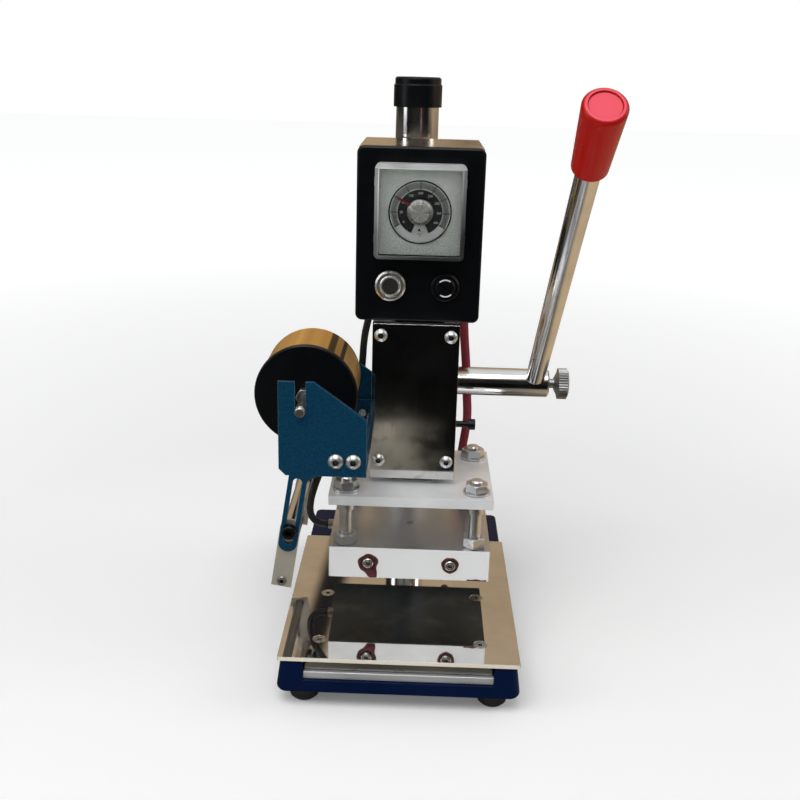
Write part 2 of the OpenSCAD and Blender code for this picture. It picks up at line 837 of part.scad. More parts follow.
// The polished sheet-metal housing of the control box, open at the front
module box_housing() {
  depth = box_back - panel_back;
  w = box_w - 2 * housing_inset;
  h = box_h - housing_inset;
  color("#c8cacd")
    place()
      difference() {
        translate([head_x - w / 2, panel_back, head_top])
          cube([w, depth, h]);
        translate([head_x - w / 2 + sheet_t, panel_back - 1, head_top + sheet_t])
          cube([w - 2 * sheet_t, depth + 1 - sheet_t, h - 2 * sheet_t]);
        translate([heater_start[0], heater_start[1], head_top - 1])
          cylinder(d = heater_lead_d + 2 * grommet_wall, h = sheet_t + 2);
        translate([sensor_start[0], sensor_start[1], head_top - 1])
          cylinder(d = sensor_lead_d + 2 * grommet_wall, h = sheet_t + 2);
        for (x = box_screw_columns())
          translate([x, box_screw_y(), head_top - 1])
            cylinder(d = 5.4, h = sheet_t + 2);
        along_y([gland_x(), box_back - sheet_t - 1, gland_z()])
          cylinder(d = gland_thread + 0.4, h = sheet_t + 2);
      }
}

gland_thread = 12;
function gland_x() = head_x + box_w / 2 - 12;
function gland_z() = head_top + 20;

// The black moulded front panel with rounded edges
module front_panel() {
  steps = 4;
  color("#141517")
    place()
      difference() {
        hull()
          for (i = [0:steps])
            let (a = 90 * i / steps, shrink = panel_edge * (1 - sin(a)))
              translate([head_x, box_front + panel_edge * (1 - cos(a)), head_top + box_h / 2])
                upright_plate(box_w - 2 * shrink, box_h - 2 * shrink, panel_r - shrink + 0.01,
                  panel_t - panel_edge * (1 - cos(a)), $fn = 32);
        translate([head_x - thermo_cut / 2 - 0.2, box_front - 1, thermo_z - thermo_cut / 2 - 0.2])
          cube([thermo_cut + 0.4, panel_t + 2, thermo_cut + 0.4]);
        along_y([head_x - button_x, box_front - 1, button_z])
          cylinder(r = button_body_r() + 0.1, h = panel_t + 2);
        along_y([head_x + button_x, box_front - 1, button_z])
          cylinder(r = fuse_body_r() + 0.1, h = panel_t + 2);
      }
}

function button_body_r() = button_d / 2 - 1.1;
function fuse_body_r() = fuse_cap_d / 2 + 1.4;

// Screws of the frame: two hold the control box on the head, four hold the rail on the base
module frame_screws() {
  color("#9a9da2")
    place() {
      for (x = box_screw_columns())
        translate([x, box_screw_y(), head_top + sheet_t])
          button_screw(9, 5, sheet_t + 10);
      for (x = rail_screw_columns(), y = rail_screw_rows())
        translate([x, y, rail_z + rail_h])
          countersunk_screw(8, 4, rail_h + 4);
    }
}

// The thermostat's case: a box behind the panel and a flange in front of it
module thermostat_case() {
  flange = 1.6;
  color("#2b2c2f")
    place()
      difference() {
        union() {
          translate([head_x - thermo_cut / 2, box_front - 0.5, thermo_z - thermo_cut / 2])
            cube([thermo_cut, thermo_depth + panel_t, thermo_cut]);
          translate([head_x, box_front - flange, thermo_z])
            upright_plate(thermo_w, thermo_h, 1.5, flange);
        }
        along_y([head_x, box_front - flange - 1, thermo_z])
          cylinder(d = knob_stem_d + 2 * run_fit, h = 12);
      }
}

knob_stem_d = 6;
face_t = 1;
face_y = box_front - 1.6 - face_t;

// The thermostat's silver face with the dial's raised rim
module thermostat_face() {
  rim = 0.8;
  rim_h = 0.5;
  color("#b7bcb8")
    place()
      difference() {
        union() {
          translate([head_x, face_y, thermo_z])
            upright_plate(thermo_w - 0.4, thermo_h - 0.4, 1, face_t);
          along_y([head_x, face_y - rim_h, thermo_z])
            difference() {
              cylinder(d = dial_d, h = rim_h + 0.1, $fn = 96);
              translate([0, 0, -1])
                cylinder(d = dial_d - 2 * rim, h = rim_h + 1, $fn = 96);
            }
        }
        along_y([head_x, face_y - 2, thermo_z])
          cylinder(d = knob_stem_d + 2 * run_fit, h = 5);
      }
}

// The clear snap-on cover over the thermostat, with four latch tabs
module thermostat_cover() {
  w = thermo_w + 2 * clear_margin;
  h = thermo_h + 2 * clear_margin;
  mid_z = thermo_z + clear_rise;
  tab = 5;
  tab_out = 0.5;
  color("#dfe8ea", 0.35)
    place()
      difference() {
        union() {
          translate([head_x, box_front - clear_depth, mid_z])
            upright_plate(w, h, 3, clear_depth);
          for (x = [-1, 1], z = [-1, 1])
            translate([head_x + x * (w / 2 - 0.5 + tab_out / 2) - 0.5 - tab_out / 2,
              box_front - 4.2, mid_z + z * h * 0.3 - tab / 2])
              cube([1 + tab_out, 4.2, tab]);
        }
        translate([head_x, box_front - clear_depth + clear_t, mid_z])
          upright_plate(w - 2 * clear_t, h - 2 * clear_t, 2, clear_depth);
      }
}

// The thermostat's knob with a pointer groove and a stem
module thermostat_knob() {
  back = face_y - near_gap;
  skirt = 1.6;
  color("#c4c6c4")
    place()
      difference() {
        along_y([head_x, back - knob_h, thermo_z])
          union() {
            rotate_extrude()
              polygon([[0, 0], [knob_d * 0.36, 0], [knob_d * 0.4, 0.6], [knob_d * 0.4, knob_h - skirt],
                [knob_d / 2, knob_h - skirt + 0.4], [knob_d / 2, knob_h], [0, knob_h]]);
            cylinder(d = knob_stem_d, h = knob_h + near_gap + face_t + 8);
          }
        along_y([head_x, back - knob_h - 1, thermo_z])
          rotate([0, 0, pointer_turn])
            translate([knob_d * 0.12, -0.5, 0])
              cube([knob_d * 0.3, 1, 1.8]);
      }
}

// The pointer's angle, clockwise from the operator's right
pointer_turn = 215;

// The push button's metal bezel, threaded body and nut
module button_bezel() {
  lip = 2;
  body_len = 24;
  color("#cfd1d4")
    place()
      difference() {
        along_y([head_x - button_x, box_front - lip, button_z])
          union() {
            rotate_extrude()
              polygon([[0, 0], [button_d / 2 - 1.1, 0], [button_d / 2, 0.9], [button_d / 2, lip], [0, lip]]);
            cylinder(r = button_body_r(), h = lip + panel_t + body_len);
            translate([0, 0, lip + panel_t])
              cylinder(r = button_d / 2 + 2.4, h = 3, $fn = 6);
          }
        along_y([head_x - button_x, box_front - lip - 1, button_z])
          cylinder(d = button_cap_d + 2 * run_fit, h = 1 + button_depth + button_travel + near_gap);
      }
}

button_depth = 8.6;

// The push button
module button_cap() {
  proud = 0.5;
  dish = 0.6;
  color("#2d2724")
    place()
      along_y([head_x - button_x, box_front - 2 - proud, button_z])
        rotate_extrude()
          polygon([[0, dish], [button_cap_d / 2 - 1.6, dish * 0.4], [button_cap_d / 2 - 0.8, 0],
            [button_cap_d / 2, 0.7], [button_cap_d / 2, button_depth + proud],
            [0, button_depth + proud]]);
}

// The fuse holder's flange, barrel and nut
module fuse_body() {
  lip = 2.4;
  body_len = 30;
  color("#1a1b1d")
    place()
      difference() {
        along_y([head_x + button_x, box_front - lip, button_z])
          union() {
            rotate_extrude()
              polygon([[0, 0], [fuse_d / 2 - 1, 0], [fuse_d / 2, 1], [fuse_d / 2, lip], [0, lip]]);
            cylinder(r = fuse_body_r(), h = lip + panel_t + body_len);
            translate([0, 0, lip + panel_t])
              cylinder(r = fuse_d / 2 + 1.6, h = 3, $fn = 6);
          }
        along_y([head_x + button_x, box_front - lip - 1, button_z])
          cylinder(d = fuse_cap_d + 2 * run_fit, h = 1 + fuse_depth + near_gap);
      }
}

fuse_depth = 9;

// The fuse holder's bayonet cap with a coin slot
module fuse_cap() {
  proud = 1.4;
  color("#1e1f22")
    place()
      along_y([head_x + button_x, box_front - 2.4 - proud, button_z])
        difference() {
          rotate_extrude()
            polygon([[0, 0], [fuse_cap_d / 2 - 0.8, 0], [fuse_cap_d / 2, 0.8],
              [fuse_cap_d / 2, fuse_depth + proud], [0, fuse_depth + proud]]);
          rotate([0, 0, 35])
            translate([-fuse_cap_d * 0.38, -0.7, -1])
              cube([fuse_cap_d * 0.76, 1.4, 2.2]);
        }
}

// The mains gland on the control box's back
module mains_gland() {
  nut_af = 17;
  color("#1f2022")
    place()
      along_y([gland_x(), box_back, gland_z()])
        difference() {
          union() {
            translate([0, 0, -sheet_t - 9])
              cylinder(d = gland_thread, h = sheet_t + 10);
            cylinder(d = nut_af / cos(30), h = 5, $fn = 6);
            translate([0, 0, 5])
              rotate_extrude()
                polygon([[0, 0], [7.6, 0], [7.6, 6], [6.6, 10], [4.6, 12], [0, 12]]);
            translate([0, 0, -sheet_t - 4])
              cylinder(d = nut_af / cos(30), h = 4, $fn = 6);
          }
          translate([0, 0, -20])
            cylinder(d = 6.4, h = 50);
        }
}

// Rubber grommets where the two leads leave the control box
module lead_grommets() {
  color("#202022")
    place() {
      lead_grommet(heater_start, heater_lead_d);
      lead_grommet(sensor_start, sensor_lead_d);
    }
}

module lead_grommet(at, lead_d) {
  bore = lead_d / 2 + 0.2;
  hole = lead_d / 2 + grommet_wall - seat_fit;
  rim = hole + grommet_lip;
  lip = 1.2;
  translate(at)
    rotate_extrude()
      polygon([[bore, -lip], [rim, -lip], [rim, 0], [hole, 0], [hole, sheet_t], [rim, sheet_t],
        [rim, sheet_t + lip], [bore, sheet_t + lip]]);
}

// The bent sheet on the head's left side that carries both holder plates
module bracket_web() {
  tab_w = 24;
  web_h = 17;
  front = holder_y + holder_t;
  color("#123f5c")
    place()
      difference() {
        translate([head_left - holder_t, front, holder_z + 1])
          union() {
            cube([holder_t, holder_in, web_h]);
            translate([holder_t - tab_w, 0, 0])
              cube([tab_w, holder_t, web_h]);
            translate([holder_t - tab_w, holder_in - holder_t, 0])
              cube([tab_w, holder_t, web_h]);
          }
        for (x = holder_screw_columns(), y = [holder_y, rear_y - holder_t - 1])
          along_y([x, y, holder_screw_z()])
            cylinder(d = holder_screw_d + 2 * seat_fit, h = 2 * holder_t + 1);
        for (y = web_screw_rows())
          along_x([head_left - holder_t - 1, y, web_screw_z()])
            cylinder(d = holder_screw_d + 0.4, h = holder_t + 2);
      }
}

function holder_screw_columns() = [head_left - 7.5, head_left - 17.6];
function holder_screw_z() = holder_z + 9.3;

// The outline of a holder plate: right edge at 0, lower edge at 0, arm and slots included
module holder_outline() {
  slot_w = axle_d + 2 * run_fit;
  guide_slot = guide_bolt_d + 0.3;
  fillet = 4;
  difference() {
    union() {
      polygon([[0, 0], [0, holder_side], [-holder_w + holder_top, holder_h], [-holder_w, holder_h],
        [-holder_w, fillet], [-holder_w + fillet, 0]]);
      translate([-arm_in, 0])
        rotate(-arm_slant) {
          translate([-arm_w / 2, -arm_len + arm_w / 2])
            square([arm_w, arm_len]);
          translate([0, -arm_len + arm_w / 2])
            circle(d = arm_w);
          translate([arm_w / 2, -fillet])
            difference() {
              square([fillet, 2 * fillet]);
              translate([fillet, 0])
                circle(fillet);
            }
        }
    }
    translate([-axle_in, axle_up])
      circle(d = slot_w);
    translate([-axle_in - slot_w / 2, axle_up])
      square([slot_w, holder_h]);
    translate([-arm_in, 0])
      rotate(-arm_slant) {
        translate([-guide_slot / 2, -arm_len + arm_w / 2 + 2])
          square([guide_slot, arm_len - arm_w - 1]);
        for (y = [-arm_len + arm_w / 2 + 2, -arm_w / 2 + 1])
          translate([0, y])
            circle(d = guide_slot);
      }
    for (x = holder_screw_columns())
      translate([x - head_left, holder_screw_z() - holder_z])
        circle(d = holder_screw_d + 0.4);
  }
}

module holder_plate(y) {
  translate([head_left, y + holder_t, holder_z])
    rotate([90, 0, 0])
      linear_extrude(holder_t)
        holder_outline();
}

// The front holder plate with its slotted arm
module bracket_front() {
  color("#15506f")
    place()
      holder_plate(holder_y);
}

// The rear holder plate
module bracket_rear() {
  color("#15506f")
    place()
      holder_plate(rear_y);
}

// The holder's screws: two in each plate and two into the head
module bracket_screws() {
  color("#d4d6d9")
    place() {
      for (x = holder_screw_columns()) {
        translate([x, holder_y, holder_screw_z()])
          rotate([90, 0, 0])
            button_screw(holder_screw_head, holder_screw_d, 2 * holder_t + 2);
        translate([x, rear_y + holder_t, holder_screw_z()])
          rotate([-90, 0, 0])
            button_screw(holder_screw_head, holder_screw_d, 2 * holder_t + 2);
      }
      for (y = web_screw_rows())
        translate([head_left - holder_t, y, web_screw_z()])
          rotate([0, -90, 0])
            button_screw(holder_screw_head, holder_screw_d, holder_t + 10);
    }
}

function arm_point(down) = [
  head_left - arm_in - down * sin(arm_slant),
  holder_z - down * cos(arm_slant)
];

// The guide bolt through both arms, with its nut
module guide_bolt() {
  at = arm_point(guide_down);
  head_d = guide_bolt_d * 1.65;
  nut = 5;
  reach = rear_y + holder_t + nut + 3 - holder_y;
  color("#d4d6d9")
    place() {
      translate([at[0], holder_y, at[1]])
        rotate([90, 0, 0])
          cap_screw(head_d, guide_bolt_d, guide_bolt_d, reach);
      along_y([at[0], rear_y + holder_t, at[1]])
        hex_nut(guide_bolt_d * 1.66, nut, guide_bolt_d + 2 * seat_fit);
    }
}

strip_t = 1.5;
strip_w = 12;
strip_end = foil_rod_d * 0.6;

// Two zinc strips with a bent edge, hung on the guide bolt
module guide_strips() {
  color("#a9adb0")
    place()
      for (y = [holder_y + holder_t, rear_y - strip_t])
        guide_strip(y);
}

module guide_strip(y) {
  flange = 4;
  toward = y < ram_y ? 0 : strip_t - flange;
  difference() {
    translate([head_left - arm_in, y + strip_t, holder_z])
      rotate([90, 0, 0])
        linear_extrude(strip_t)
          rotate(-arm_slant)
            translate([0, -guide_down])
              strip_outline();
    for (down = [guide_down, guide_down + rod_down])
      along_y([arm_point(down)[0], y - 1, arm_point(down)[1]])
        cylinder(d = (down == guide_down ? guide_bolt_d : rod_neck()) + 0.2, h = strip_t + 2);
  }
  translate([head_left - arm_in, y + toward + flange, holder_z])
    rotate([90, 0, 0])
      linear_extrude(flange)
        rotate(-arm_slant)
          translate([-strip_w / 2, -guide_down - rod_down])
            square([strip_t, rod_down - 8]);
}

module strip_outline() {
  circle(d = strip_w);
  translate([-strip_w / 2, -rod_down - strip_end])
    square([strip_w, rod_down + strip_end]);
}

function rod_neck() = foil_rod_d - 2;

// The lower rod that the foil passes under, riveted into both strips
module foil_rod() {
  at = arm_point(guide_down + rod_down);
  start = holder_y + holder_t + strip_t;
  span = rear_y - strip_t - start;
  rivet = 1.2;
  hollow = rod_neck() / 2 - 0.8;
  color("#b4b8bb")
    place()
      along_y([at[0], start, at[1]])
        rotate_extrude()
          polygon([[hollow, -strip_t - rivet], [foil_rod_d / 2 - 0.4, -strip_t - rivet], [foil_rod_d / 2, -strip_t],
            [rod_neck() / 2, -strip_t], [rod_neck() / 2, 0], [foil_rod_d / 2, 0], [foil_rod_d / 2, span],
            [rod_neck() / 2, span], [rod_neck() / 2, span + strip_t], [foil_rod_d / 2, span + strip_t],
            [foil_rod_d / 2 - 0.4, span + strip_t + rivet], [hollow, span + strip_t + rivet]]);
}

// The roller that turns on the guide bolt
module guide_roller() {
  at = arm_point(guide_down);
  start = holder_y + holder_t + strip_t + near_gap;
  span = rear_y - strip_t - near_gap - start;
  color("#cfd2d5")
    place()
      along_y([at[0], start, at[1]])
        difference() {
          cylinder(d = guide_d, h = span);
          translate([0, 0, -1])
            cylinder(d = guide_bolt_d + 2 * run_fit, h = span + 2);
        }
}

disc_t = 3;
hub_len = 7;
disc_y = holder_y + holder_t + disc_in;
foil_y = disc_y + disc_t;
rear_disc_y = foil_y + foil_w;

// The roll's axle, which lies in the open slots of both plates
module roll_axle() {
  over = 4;
  edge = 0.8;
  reach = rear_y + holder_t + over - holder_y + over;
  color("#9fa3a8")
    place()
      along_y([axle_x, holder_y - over, axle_z])
        rotate_extrude()
          polygon([[0, 0], [axle_d / 2 - edge, 0], [axle_d / 2, edge], [axle_d / 2, reach - edge],
            [axle_d / 2 - edge, reach], [0, reach]]);
}

// The two discs that centre the core, each with a hub
module roll_discs() {
  color("#18191b")
    place() {
      along_y([axle_x, disc_y, axle_z])
        roll_disc(disc_r);
      along_y([axle_x, rear_disc_y + disc_t, axle_z])
        mirror([0, 0, 1])
          roll_disc(rear_disc_r);
    }
}

// One disc: outer face at z = 0, hub towards +Z
module roll_disc(r) {
  edge = 0.8;
  hub_r = core_r - core_t - seat_fit;
  bore = axle_d / 2 + seat_fit;
  rotate_extrude($fn = 96)
    polygon([[bore, 0], [r - edge, 0], [r, edge], [r, disc_t], [hub_r, disc_t], [hub_r, disc_t + hub_len],
      [bore, disc_t + hub_len]]);
}

// The roll's cardboard core
module roll_core() {
  color("#8a6f4d")
    place()
      along_y([axle_x, foil_y, axle_z])
        difference() {
          cylinder(r = core_r, h = foil_w);
          translate([0, 0, -1])
            cylinder(r = core_r - core_t, h = foil_w + 2);
        }
}

// The wound foil
module foil_roll() {
  color("#c08a35")
    place()
      along_y([axle_x, foil_y, axle_z])
        difference() {
          cylinder(r = foil_r, h = foil_w, $fn = 96);
          translate([0, 0, -1])
            cylinder(r = core_r + seat_fit, h = foil_w + 2);
        }
}

// Two nuts that clamp the discs on the axle
module disc_nuts() {
  nut = 5;
  color("#9fa3a8")
    place()
      for (y = [disc_y - nut, rear_disc_y + disc_t])
        along_y([axle_x, y, axle_z])
          hex_nut(axle_d * 1.66, nut, axle_d + 2 * seat_fit);
}

// Involute of a circle, as a radius and a polar angle, for a roll angle in degrees
base_circle = pitch_r * cos(pressure);
function flank_r(roll) = base_circle / cos(atan(roll * PI / 180));
function flank_turn(roll) = roll - atan(roll * PI / 180);
tip_roll = sqrt(pow(tip_r / base_circle, 2) - 1) * 180 / PI;
flank_steps = 6;
half_tooth = 90 / pinion_teeth + (tan(pressure) * 180 / PI - pressure) - tooth_play / pitch_r * 180 / PI;

// One tooth's outline, centred on the angle mid
function tooth(mid) = let (
  flank = [for (i = [0:flank_steps]) let (roll = tip_roll * i / flank_steps)
    [flank_r(roll), half_tooth - flank_turn(roll)]],
  rising = concat([[root_r, half_tooth]], flank),
  last = len(rising) - 1
) concat(
  [for (i = [0:last]) rising[i][0] * [cos(mid - rising[i][1]), sin(mid - rising[i][1])]],
  [for (i = [last:-1:0]) rising[i][0] * [cos(mid + rising[i][1]), sin(mid + rising[i][1])]]
);

// The pinion shaft: teeth cut on the shaft, a cross hole for the lever and an end hole for the lock screw
module pinion_shaft() {
  left = head_left + near_gap;
  edge = 1;
  teeth = [for (k = [0:pinion_teeth - 1]) each tooth(360 * k / pinion_teeth)];
  color("#d3d6d9")
    place()
      difference() {
        union() {
          along_x([left, shaft_y, shaft_z])
            rotate_extrude()
              polygon([[0, 0], [shaft_d / 2, 0], [shaft_d / 2, shaft_end - left - edge],
                [shaft_d / 2 - edge, shaft_end - left], [0, shaft_end - left]]);
          translate([pinion_left(), shaft_y, shaft_z])
            rotate([90, 0, 90])
              linear_extrude(pinion_w)
                polygon(teeth);
        }
        lever_axis(-shaft_d)
          cylinder(d = spigot_d() + 2 * seat_fit, h = 2 * shaft_d);
        along_x([lever_x, shaft_y, shaft_z])
          cylinder(d = lock_d + 2 * run_fit, h = shaft_end);
      }
}

function spigot_d() = rod_d - 2;

// A part drawn along +Z, laid along the lever from a distance out from the shaft's axis
module lever_axis(out) {
  translate([lever_x, shaft_y, shaft_z])
    rotate([lever_lean, 0, 0])
      translate([0, 0, out])
        children();
}

echo(str("return spring, gap between its coils: ", spring_pitch - spring_wire, " mm"));

// The return spring, wound round the shaft beside the pinion
module return_spring() {
  rings = 24 * spring_turns;
  start = pinion_right() + near_gap + spring_wire / 2;
  coil = [
    for (i = [0:rings])
      let (a = 360 * i / 24)
        [start + spring_pitch * i / 24, shaft_y + spring_r * cos(a), shaft_z + spring_r * sin(a)]
  ];
  color("#6f7378")
    place()
      tube(coil, spring_wire / 2, 6);
}

// The ring that keeps the shaft in the head
module retaining_ring() {
  color("#3a3c40")
    place()
      along_x([head_left + ring_pocket - near_gap - 1.6, shaft_y, shaft_z])
        difference() {
          cylinder(d = shaft_d + 6, h = 1.6);
          translate([0, 0, -1])
            cylinder(d = shaft_d + 2 * seat_fit, h = 4);
        }
}

// The lever rod with a spigot through the shaft
module lever_rod() {
  shoulder = shaft_d / 2 + 0.1;
  tip = lever_len - 10;
  edge = 1;
  color("#d6d8da")
    place()
      lever_axis(0)
        rotate_extrude()
          polygon([[0, -shaft_d / 2], [spigot_d() / 2, -shaft_d / 2], [spigot_d() / 2, shoulder],
            [rod_d / 2, shoulder + 0.6], [rod_d / 2, tip - edge], [rod_d / 2 - edge, tip], [0, tip]]);
}

// The tapered plastic grip with a sunk end
module lever_grip() {
  start = lever_len - grip_len;
  bore = rod_d / 2 + seat_fit;
  rim = rim_r;
  sunk_r = 7.2;
  sunk = 0.8;
  arc = [for (a = [0:15:90]) [grip_d / 2 - rim + rim * cos(a), lever_len - rim + rim * sin(a)]];
  color("#d1202a")
    place()
      lever_axis(0)
        rotate_extrude($fn = 96)
          polygon(concat(
            [[bore, start], [grip_neck / 2 - 1, start], [grip_neck / 2, start + 1]],
            arc,
            [[sunk_r + 0.5, lever_len], [sunk_r, lever_len - sunk], [0, lever_len - sunk],
              [0, lever_len - 10 + 0.2], [bore, lever_len - 10 + 0.2]]
          ));
}

// The knurled screw that locks the lever in the shaft
module lock_screw() {
  notches = 36;
  depth = 0.6;
  rim = knurl_d / 2;
  edge = 0.8;
  bell = 2.4;
  body = rim - depth - 0.4;
  neck = shaft_end + lock_gap - lever_x - spigot_d() / 2 - near_gap;
  outline = [
    for (i = [0:2 * notches - 1])
      let (a = 180 * i / notches)
        (rim - depth * (i % 2)) * [cos(a), sin(a)]
  ];
  color("#cdd0d3")
    place()
      along_x([shaft_end + lock_gap, shaft_y, shaft_z])
        difference() {
          union() {
            translate([0, 0, -neck])
              cylinder(d = lock_d, h = neck + 1);
            rotate_extrude()
              polygon([[0, 0], [lock_d / 2 + 1, 0], [body - 2, bell - 0.8], [body, bell],
                [body, knurl_len - edge], [body - edge, knurl_len], [0, knurl_len]]);
            translate([0, 0, bell])
              linear_extrude(knurl_len - bell - edge)
                polygon(outline);
          }
          translate([0, 0, knurl_len - 1])
            cylinder(d = knurl_d * 0.6, h = 2);
        }
}

// The ram's side view, with the rack's spaces cut in its back; y along X, z along Y
module ram_outline() {
  top = plate_top + ram_len;
  reach = tan(pressure);
  wide = tooth_pitch / 2 + 2 * tooth_module * reach + 2 * tooth_play;
  narrow = tooth_pitch / 2 - 2.5 * tooth_module * reach + 2 * tooth_play;
  deep = 2.25 * tooth_module;
  spaces = floor((top - shaft_z - wide) / tooth_pitch);
  difference() {
    translate([ram_front, plate_top])
      square([ram_w, ram_len]);
    for (k = [-3:spaces])
      translate([ram_back, shaft_z + k * tooth_pitch])
        polygon([[0.01, -wide / 2], [-deep, -narrow / 2], [-deep, narrow / 2], [0.01, wide / 2]]);
  }
}

// The square ram with its rack
module ram() {
  color("#9da1a6")
    place()
      difference() {
        translate([head_x - ram_w / 2, 0, 0])
          rotate([90, 0, 90])
            linear_extrude(ram_w)
              ram_outline();
        translate([head_x, ram_y, plate_top - 1])
          cylinder(d = ram_bolt_d + 2 * seat_fit, h = 31);
      }
}

// The bolt that joins the ram and its plate, from below
module ram_bolt() {
  color("#2a2b2e")
    place()
      translate([head_x, ram_y, plate_z])
        mirror([0, 0, 1])
          cap_screw(ram_bolt_d * 1.6, ram_bolt_d, ram_bolt_d, plate_t + 26);
}

function post_columns() = [head_x - post_x / 2, head_x + post_x / 2];
function post_rows() = [ram_y - post_y / 2, ram_y + post_y / 2];

// The aluminium plate under the ram
module upper_plate() {
  color("#c6c9cc")
    place()
      difference() {
        translate([head_x, ram_y, plate_z])
          linear_extrude(plate_t)
            rounded_rect(block_w, plate_d, 1);
        for (x = post_columns(), y = post_rows())
          translate([x, y, plate_z - 1])
            cylinder(d = post_d + 0.2, h = plate_t + 2);
        translate([head_x, ram_y, plate_z - 1])
          cylinder(d = ram_bolt_d + 0.4, h = plate_t + 2);
      }
}

// Four studs between the plate and the heat block, each with a collar under the plate
module posts() {
  collar = 7;
  top = plate_top + nut_h + 2 - block_top;
  edge = 0.8;
  color("#c3c6c4")
    place()
      for (x = post_columns(), y = post_rows())
        translate([x, y, block_top])
          rotate_extrude()
            polygon([[0, -post_in], [post_d / 2, -post_in], [post_d / 2, post_gap - collar],
              [post_d / 2 + 1.4, post_gap - collar], [post_d / 2 + 1.4, post_gap],
              [post_d / 2, post_gap], [post_d / 2, top - edge], [post_d / 2 - edge, top], [0, top]]);
}

// The posts' nuts: four on the plate and four on the block
module post_nuts() {
  turns = [12, 40, 25, 5];
  color("#cdd0cc")
    place()
      for (i = [0, 1], j = [0, 1], z = [plate_top, block_top])
        translate([post_columns()[i], post_rows()[j], z])
          rotate([0, 0, turns[2 * i + j]])
            hex_nut(nut_af, nut_h, post_d + 2 * seat_fit, z == plate_top ? nut_af * 1.27 : 0);
}

function heater_columns() = [head_x - heater_x / 2, head_x + heater_x / 2];

// The aluminium heat block with two heater bores, four stud holes and a sensor hole
module heat_block() {
  color("#cfd1d3")
    place()
      difference() {
        translate([head_x, block_front + block_d / 2, block_z])
          linear_extrude(block_h)
            rounded_rect(block_w, block_d, 0.8);
        for (x = heater_columns())
          along_y([x, block_front - 1, heater_z])
            cylinder(d = heater_d + 2 * seat_fit, h = block_d + 2);
        for (x = post_columns(), y = post_rows())
          translate([x, y, block_top - post_in - 0.5])
            cylinder(d = post_d + 2 * seat_fit, h = post_in + 1);
        translate([head_x, ram_y + 1, block_top - 8])
          cylinder(d = 4.2, h = 9);
        along_x([sensor_x() - 1, sensor_y(), heater_z])
          cylinder(d = probe_d + 2 * seat_fit, h = probe_in + 1.5);
      }
}

function sensor_x() = head_x - block_w / 2;
function sensor_y() = sensor_end[1];

// Two heater cartridges, standing out at the block's back
module heater_cartridges() {
  start = block_front + plug_len + 2;
  edge = 0.8;
  span = block_back + heater_out - start;
  color("#8f9296")
    place()
      for (x = heater_columns())
        along_y([x, start, heater_z])
          rotate_extrude()
            polygon([[0, 0], [heater_d / 2, 0], [heater_d / 2, span - edge], [heater_d / 2 - edge, span],
              [0, span]]);
}

// Two screwed plugs that close the heater bores at the front
module heater_plugs() {
  boss_r = heater_d * 0.33;
  boss = 1.6;
  color("#b9bcbe")
    place()
      for (x = heater_columns())
        along_y([x, block_front - boss, heater_z])
          difference() {
            rotate_extrude()
              polygon([[0, 0], [boss_r - 0.5, 0], [boss_r, 0.5], [boss_r, boss], [heater_d / 2, boss],
                [heater_d / 2, boss + plug_len], [0, boss + plug_len]]);
            translate([0, 0, -1])
              cylinder(d = boss_r, h = 2.4, $fn = 6);
          }
}

// The temperature sensor in the block's left side
module thermocouple() {
  color("#a7aaad")
    place()
      along_x([sensor_x() - probe_out, sensor_y(), heater_z])
        rotate_extrude()
          polygon([[0, 0], [3.2, 0], [3.2, probe_out], [probe_d / 2, probe_out],
            [probe_d / 2, probe_out + probe_in], [0, probe_out + probe_in]]);
}

function table_screw_columns() = [-table_screw_x / 2, table_screw_x / 2];
function table_screw_rows() = [0, 1] * table_screw_y + [1, 1] * table_screw_front;
table_screw_front = 21.2;

// The mirror-finished table plate with countersunk holes
module table_plate() {
  color("#d9dadb")
    place()
      difference() {
        translate([0, table_len / 2, table_z])
          linear_extrude(table_t)
            rounded_rect(table_w, table_len, 1.5);
        for (x = table_screw_columns(), y = table_screw_rows())
          translate([x, y, table_top])
            countersunk_hole(table_screw_head, table_screw_d, table_t + 1);
      }
}

// The table plate's four countersunk screws
module table_screws() {
  color("#bfc2c5")
    place()
      for (x = table_screw_columns(), y = table_screw_rows())
        translate([x, y, table_top])
          countersunk_screw(table_screw_head, table_screw_d, table_t + carriage_h - 1.4);
}

// The moving aluminium carriage under the table plate
module carriage() {
  color("#cdd0d4")
    place()
      difference() {
        translate([-carriage_w / 2, carriage_front, carriage_z])
          round_bar(carriage_w, carriage_len, carriage_h, 0.6);
        for (x = table_screw_columns(), y = table_screw_rows())
          translate([x, y, carriage_z + 1])
            cylinder(d = table_screw_d + 2 * seat_fit, h = carriage_h);
        for (x = [-1, 1])
          translate([x * (carriage_w / 2), rail_front - 1, carriage_z + carriage_h * 0.62])
            rotate([-90, 0, 0])
              cylinder(r = 1, h = carriage_len + 2);
      }
}

// The T-shaped keel that holds the carriage to the rail and ends its travel
module keel() {
  neck_h = carriage_z - rail_z + 0.3;
  color("#7d8288")
    place()
      translate([0, keel_y, rail_z]) {
        translate([-keel_neck / 2, 0, -0.3])
          cube([keel_neck, keel_len, neck_h]);
        translate([-keel_head / 2, 0, -0.3 - keel_head_h])
          cube([keel_head, keel_len, keel_head_h]);
      }
}

// The sleeved heater lead
module heater_lead() {
  color("#8d2430")
    place()
      tube(smooth(heater_route, 2), heater_lead_d / 2, 10);
}

// The sensor lead
module sensor_lead() {
  color("#141416")
    place()
      tube(smooth(sensor_route, 2), sensor_lead_d / 2, 10);
}

